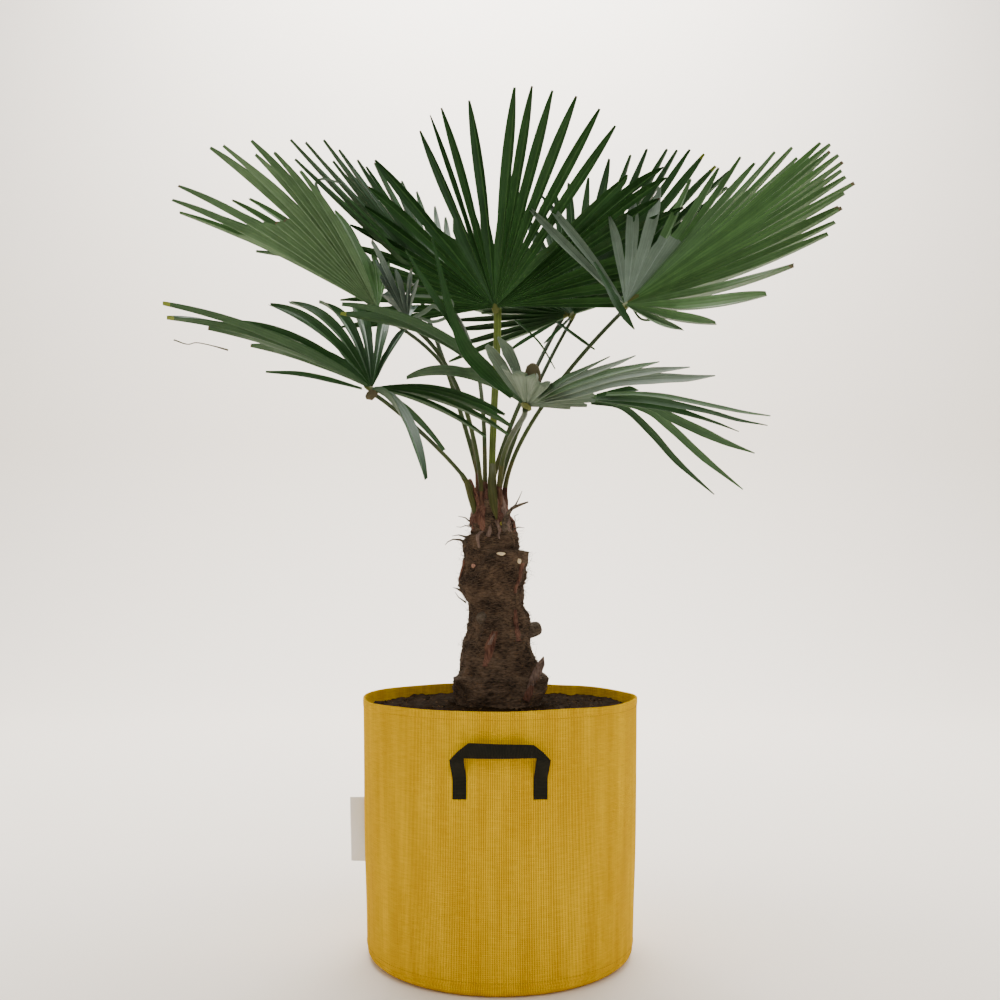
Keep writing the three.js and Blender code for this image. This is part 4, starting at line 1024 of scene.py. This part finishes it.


# Leaf greens by look. The first look is the leaf green darkened for leaves that lie in shade, which is painted shade.
# The second is the same green as lit leaves show it, which is painted light. The grey look is the grey-green of the
# undersides.
LOOKS = {
    "deep": dict(upper=(34, 64, 28), second=(42, 74, 34), rib=(58, 90, 46), under=(54, 78, 50)),
    "lit_green": dict(upper=(66, 98, 52), second=(76, 110, 60), rib=(104, 132, 88), under=(72, 98, 64)),
    "grey": dict(upper=(92, 110, 100), second=(100, 118, 108), rib=(120, 136, 126), under=(84, 100, 90)),
}
VEINS = dict(upper=(0.14, 0.42), second=(0.14, 0.42), rib=(0.1, 0.45), under=(0.12, 0.6))
leaf_looks = {
    look: [green_material(f"leaf_{look}_{side}", srgb(*tint), *VEINS[side]) for side, tint in tints.items()]
    for look, tints in LOOKS.items()
}
leaf_hub = green_material("leaf_hub_olive", srgb(84, 90, 44), 0.2, 0.6)
leaf_dry = green_material("leaf_dry_tip", srgb(84, 78, 56), 0.2, 0.75)
leaf_grey = green_material("leaf_grey_side", srgb(98, 113, 95), 0.12, 0.6)
leaf_yellow = green_material("leaf_yellow_tip", srgb(112, 124, 46), 0.15, 0.55)
# The last two slots are painted shade and painted light: the upper green darkened for fingers in shade, and the
# underside green as lit leaves show it.
UPPER, SECOND, RIB, UNDER, HUB, DRY, GREY, YELLOW, SHADED_UPPER, LIT_UNDERSIDE = range(10)
# Stretches of the fan that turn their grey underside to both sides, and how far out from the hub they do.
GREY_FINGERS = {7: [(63, 18, 1.2), (18, -4, 0.5)], 8: [(120, -21, 0.5)]}
YELLOW_TIPS = {5: [(40, 30, 0.955)], 8: [(-77, -82, 0.97)], 6: [(-20, -35, 0.975)]}
YELLOW_HUBS = {7: [(-12, -62, 0.07)], 6: [(130, 80, 0.05)]}
ACROSS = np.array([-1, -0.62, -0.12, 0.12, 0.62, 1])
THIN = 0.00045


def finger(leaf, entry, full, sides, spacing, seed):
    """One finger as a closed thin strip. While joined, its margins follow the lines midway to its neighbours.
    Past the split it keeps to its own width, grows a little wider with the fan, and narrows to a blunt tip.
    The free part twists, sags and bends a little."""
    at, kept, _, width, lift, life = entry
    share = np.concatenate([np.linspace(0.015, 0.5, 10), np.linspace(0.55, 0.94, 11), [0.97, 0.99, 1.0]])
    distance = share * full
    rule = full / kept if life < 1 else full
    start = max(min(side[1] for side in sides), 0.12)
    free = np.clip((share - start) / (1 - start), 0, 1)
    course = np.full(len(share), float(at))
    centre = blade_point(leaf, course, distance, rule)
    ahead = np.gradient(centre, axis=0)
    ahead /= np.linalg.norm(ahead, axis=1)[:, None]
    beside = blade_point(leaf, course + 0.5, distance, rule) - centre
    normal = np.cross(ahead, beside)
    normal /= np.linalg.norm(normal, axis=1)[:, None]
    margins = []
    for (half_angle, split), sign in zip(sides, (1, -1)):
        late = np.clip((share - split) / max(1 - split, 0.01), 0, 1)
        own = min(abs(half_angle) * 0.86, spacing * 0.5 * width)
        half = half_angle + (own - half_angle) * smooth_step(late, 0, 0.14)
        wide = blade_point(leaf, course + sign * half, distance, rule) - centre
        margins.append(wide * (0.1 + 0.9 * (1 - late ** 2.1))[:, None])
    pleat = 0.36 * math.radians(spacing)
    rise = np.minimum(pleat * distance, 0.0055) * (1 - 0.6 * free ** 2)
    sag = 0.02 * (drawn(seed + 3) + 0.35) * full * free ** 2 * life
    sway = math.radians(3.4) * drawn(seed + 5) * full * free ** 2 * life
    side = margins[0] / np.linalg.norm(margins[0], axis=1)[:, None]
    moved = centre + side * sway[:, None]
    moved[:, 2] += lift * free ** 2 - sag
    twist = 0.9 * drawn(seed + 7) * free ** 1.5
    cos, sin = np.cos(twist)[:, None], np.sin(twist)[:, None]
    tops, bottoms = [], []
    thick = THIN * (1 + 1.2 * (1 - share))
    for place in ACROSS:
        offset = (margins[0] if place < 0 else margins[1]) * abs(place)
        offset = offset + normal * (rise * (2 * abs(place) - 1))[:, None]
        turned = offset * cos + np.cross(ahead, offset) * sin
        face = normal * cos + np.cross(ahead, normal) * sin
        tops.append(moved + turned + face * thick[:, None])
        bottoms.append(moved + turned - face * (thick * (1 + 1.4 * (abs(place) < 0.2)))[:, None])
    ring = np.stack(tops + bottoms[::-1], axis=1)
    return ring, share, distance


def look_share(stretches, number, at, plain):
    """The share of the reach that goes with a leaf's stretch of another look at that angle, or a plain one."""
    return next((share for high, low, share in stretches.get(number, []) if low <= at <= high), plain)


def strip_uv(width, along):
    """Flat places of a finger's twelve corners per ring: its given width by its length."""
    across = np.concatenate([ACROSS, ACROSS[::-1]]) * width
    return np.stack(np.broadcast_arrays(across[None, :], along[:, None]), -1).reshape(-1, 2)


def fan_mesh(number, leaf):
    """All fingers of one leaf, with a material for every face: the upper side in two greens, a lighter
    midrib, the underside, the hub, and grey, yellow or dry stretches."""
    spacing, plan = fan_plan(number, leaf)
    points, faces, slots, uvs, start = [], [], [], [], 0
    for i, entry in enumerate(plan):
        at, kept, split_right = entry[:3]
        before = plan[i - 1][0] if i > 0 else at + spacing
        after = plan[i + 1][0] if i + 1 < len(plan) else at - spacing
        split_left = plan[i - 1][2] if i > 0 else split_right
        full = float(reach_at(leaf, at)) * kept
        sides = []
        for high, low, split in [(before, at, split_left), (at, after, split_right)]:
            half_gap, start_share = (high - low) / 2, min(split / kept, 0.97)
            if inside(TORN, number, high, low):
                half_gap, start_share = min(half_gap, spacing * 0.5), 0.1
            sides.append((half_gap, start_share))
        seed = leaf["seed"] * 13 + i * 7
        ring, along, distance = finger(leaf, entry, full, sides, spacing, seed)
        rows = len(ring)
        green = SECOND if drawn(seed + 11) > 0.12 else UPPER
        grey_share = look_share(GREY_FINGERS, number, at, 0)
        yellow_share = look_share(YELLOW_TIPS, number, at, 2)
        hub_share = look_share(YELLOW_HUBS, number, at, 0.022)
        row_slots = []
        for row in range(rows - 1):
            here = (along[row] + along[row + 1]) / 2
            if here < hub_share:
                row_slots += [HUB] * 12
            elif here * kept < grey_share:
                row_slots += [GREY] * 12
            elif here > yellow_share:
                row_slots += [YELLOW] * 12
            elif here > 0.98 and drawn(seed + 13) > 0.3:
                row_slots += [DRY] * 12
            else:
                row_slots += [green, green, RIB, green, green] + [UNDER] * 7
        points.append(ring.reshape(-1, 3))
        faces.append(strip_faces(rows, 12, turned=True) + start)
        slots.append(np.array(row_slots + [HUB] * 5 + [row_slots[-1]] * 5))
        uvs.append(strip_uv(0.008, distance))
        start += rows * 12
    return np.concatenate(points), [np.concatenate(faces)], np.concatenate(slots), np.concatenate(uvs)


# Bent, rolled and broken fingers: their course and their widths along it in millimetres, and their look.
# Fingers in shade take the upper green darkened, which is painted shade; others take the lit underside green, which
# is painted light.
STRAYS = {
    1: [([(18, 143, 1236), (24, 138, 1266), (32, 134, 1301), (41, 130, 1335)], (3, 7, 6, 1), DRY)],
    3: [([(-331, 180, 1350), (-356, 150, 1414), (-369, 140, 1452), (-377, 135, 1474), (-365, 135, 1484),
          (-343, 140, 1482), (-327, 145, 1478)], (4, 7, 7, 6, 5, 5, 2), GREY)],
    4: [([(-175, -235, 1134), (-133, -245, 1132), (-91, -250, 1127), (-79, -250, 1117), (-88, -245, 1097),
          (-113, -235, 1091), (-137, -225, 1102)], (2, 5, 5, 6, 6, 6, 4), GREY),
        ([(-147, -225, 1100), (-126, -240, 1106), (-111, -245, 1115), (-99, -245, 1107)], (5, 8, 7, 3), GREY)],
    5: [([(-424, -340, 1019), (-448, -345, 1025), (-471, -348, 1029), (-485, -350, 1026), (-506, -350, 1033)],
         (3, 1.6, 1.4, 1.4, 2.4), DRY),
        ([(-218, -315, 963), (-258, -380, 964), (-296, -420, 965), (-342, -440, 964)], (4, 9, 8, 3), UPPER)],
    6: [([(143, 150, 1198), (121, 130, 1172), (100, 120, 1149), (88, 115, 1137)], (5, 6, 6, 2), UPPER),
        ([(116, 140, 1187), (145, 120, 1159), (168, 110, 1139), (189, 105, 1122)], (6, 7, 7, 3), UPPER),
        ([(30, 130, 1189), (54, 110, 1163), (82, 100, 1130), (109, 95, 1081)], (4, 4, 4, 2), UPPER),
        ([(16, 90, 1114), (40, 100, 1134), (80, 115, 1162), (115, 130, 1185)], (4, 8, 8, 4), UPPER)],
    7: [([(164, -165, 1215), (182, -190, 1170), (196, -215, 1130), (211, -230, 1099), (223, -240, 1077)],
         (4, 10, 14, 12, 2), SHADED_UPPER),
        ([(228, -160, 1138), (241, -175, 1113), (255, -180, 1108), (269, -175, 1113)], (3, 4, 4, 2), UNDER)],
    8: [([(18, -385, 937), (-22, -400, 974), (-47, -420, 998), (-66, -430, 1036), (-79, -440, 1077),
          (-100, -445, 1164)], (8, 26, 24, 13, 11, 2), UPPER),
        ([(0, -385, 954), (-42, -405, 994), (-74, -425, 1045), (-102, -435, 1086), (-139, -440, 1146)],
         (4, 11, 11, 10, 2), UPPER),
        ([(136, -400, 927), (185, -381, 922), (230, -360, 888), (275, -336, 844), (337, -307, 796)],
         (9, 10, 12, 10, 1.6), UNDER),
        ([(147, -405, 931), (216, -393, 918), (256, -385, 891), (308, -373, 846), (370, -360, 799)],
         (7, 12, 13, 11, 1.5), LIT_UNDERSIDE),
        ([(158, -410, 930), (220, -428, 915), (248, -437, 898), (293, -452, 873), (325, -462, 856), (361, -474, 840)],
         (6, 12, 14, 14, 9, 1.4), LIT_UNDERSIDE),
        ([(146, -412, 929), (215, -447, 914), (259, -472, 900), (299, -495, 883)], (7, 11, 8, 1.4), SHADED_UPPER),
        ([(250, -455, 903), (278, -474, 893), (304, -494, 880), (330, -514, 865)], (4, 6, 4, 0.8), UNDER),
        ([(142, -425, 930), (197, -472, 918), (236, -508, 905), (279, -551, 887), (311, -586, 870), (342, -621, 857)],
         (10, 11, 11, 7, 5, 0.8), UNDER),
        ([(155, -440, 931), (192, -488, 923), (228, -539, 909), (278, -621, 881), (303, -667, 866), (323, -708, 855)],
         (6, 6, 8, 6, 4, 1.2), LIT_UNDERSIDE),
        ([(142, -430, 930), (169, -449, 933), (186, -461, 934), (198, -470, 931)], (7, 9, 10, 1.4), SHADED_UPPER),
        ([(44, -362, 931), (89, -380, 932), (136, -398, 932), (159, -407, 929), (175, -415, 919)],
         (3, 10, 12, 12, 4), LIT_UNDERSIDE),
        ([(49, -362, 935), (85, -465, 944), (115, -553, 944), (139, -640, 942)], (5, 13, 9, 1.2), UNDER),
        ([(49, -362, 934), (90, -466, 942), (131, -576, 938), (150, -637, 934), (165, -690, 932)],
         (5, 14, 12, 9, 1.2), GREY),
        ([(50, -362, 933), (96, -462, 938), (142, -572, 934), (173, -657, 925), (190, -715, 919)],
         (5, 14, 14, 10, 1.2), LIT_UNDERSIDE),
        ([(51, -362, 933), (103, -451, 935), (150, -543, 934), (191, -633, 924), (225, -722, 911)],
         (5, 14, 16, 13, 1.2), GREY),
        ([(51, -362, 932), (109, -447, 930), (157, -529, 930), (203, -616, 918), (233, -679, 906), (253, -731, 899)],
         (5, 14, 16, 17, 11, 1.2), GREY),
        ([(39, -364, 935), (19, -385, 956), (1, -408, 979), (-12, -427, 994), (-20, -440, 1003)],
         (4, 15, 20, 17, 7), GREY),
        ([(40, -366, 936), (30, -387, 960), (22, -404, 980), (10, -424, 1000), (-3, -445, 1014)],
         (4, 12, 16, 19, 4), GREY)],
}
# Woody lumps beside the hubs: their course and radii in millimetres.
LUMPS = {
    5: [([(-197, -300, 966), (-201, -299, 960), (-208, -298, 954), (-214, -297, 952)], (4, 7.5, 8, 3))],
    8: [([(52, -388, 951), (50, -392, 962), (49, -397, 972), (49, -400, 981), (49, -402, 985)],
         (10, 12, 12, 9, 3))],
}


def stray_mesh(course, widths, slot):
    """A thin closed strip through the given places, facing the front: between two of them each coordinate
    follows the cubic whose slope at a place is half the way between its neighbours."""
    course = np.array(course) / 1000
    slope = np.gradient(course, axis=0)
    place = np.linspace(0, len(course) - 1, 6 * (len(course) - 1) + 1)
    low = np.minimum(place.astype(int), len(course) - 2)
    t = (place - low)[:, None]
    path = (1 + 2 * t) * (1 - t) ** 2 * course[low] + t * (1 - t) ** 2 * slope[low]
    path += t * t * (3 - 2 * t) * course[low + 1] + t * t * (t - 1) * slope[low + 1]
    half = np.interp(place, np.arange(len(widths)), widths)[:, None] / 2000
    ahead = np.gradient(path, axis=0)
    side = np.cross(ahead, (0.0, -1.0, 0.15))
    side /= np.linalg.norm(side, axis=1)[:, None]
    face = np.cross(side, ahead)
    face /= np.linalg.norm(face, axis=1)[:, None]
    tops = [path + side * half * place + face * (0.0005 + half * 0.3 * (abs(place) - 0.5)) for place in ACROSS]
    bottoms = [top - face * 0.001 for top in tops]
    ring = np.stack(tops + bottoms[::-1], axis=1)
    quads = strip_faces(len(ring), 12, turned=True)
    return ring.reshape(-1, 3), [quads], np.full(len(quads), slot), strip_uv(0.006, place * 0.02)


def hub_knobs(number, leaf):
    """The small woody lump where stalk and blade meet: a flattened tube that closes the middle of the fan.
    Some leaves have another lump beside it."""
    ahead, _, upper = leaf_axes(leaf)
    along = np.array([-0.013, -0.011, -0.006, 0.0, 0.006, 0.011, 0.014])[:, None]
    path = np.array(leaf["hub"]) / 1000 + along * ahead - upper * 0.0022
    tubes = [tube(path, upper, np.array([2.5, 5.5, 8.2, 9.0, 8.2, 5.5, 2.0]) / 1000, 12, flat=0.45)]
    for course, radii in LUMPS.get(number, []):
        path, radii = np.array(course, float) / 1000, np.array(radii) / 1000
        tubes.append(tube(path, np.array([0.1, 1.0, 0.1]), radii, 12, flat=0.7))
    looks = [HUB] + [DRY] * (len(tubes) - 1)
    return [(points, faces, np.full(sum(map(len, faces)), look), np.zeros((len(points), 2)))
            for look, (points, faces) in zip(looks, tubes)]


for number, leaf in enumerate(LEAVES, 1):
    parts = [fan_mesh(number, leaf)] + [stray_mesh(*stray) for stray in STRAYS.get(number, [])]
    parts += hub_knobs(number, leaf)
    starts = np.cumsum([0] + [len(part[0]) for part in parts[:-1]])
    faces = [group + start for part, start in zip(parts, starts) for group in part[1]]
    points, slots, uv = (np.concatenate([part[k] for part in parts]) for k in (0, 2, 3))
    looks = leaf_looks[leaf["look"]] + [leaf_hub, leaf_dry, leaf_grey, leaf_yellow]
    # Then the upper green of leaves in shade (painted shade) and the underside green of lit leaves (painted light).
    looks += [leaf_looks["deep"][0], leaf_looks["lit_green"][3]]
    fan = put_mesh(f"fan_{number:02d}", points, faces, looks, slots, uv)
    fan.data.set_sharp_from_angle(angle=math.radians(38))
    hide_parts(f"frond_{number:02d}")
    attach(fan, "root")
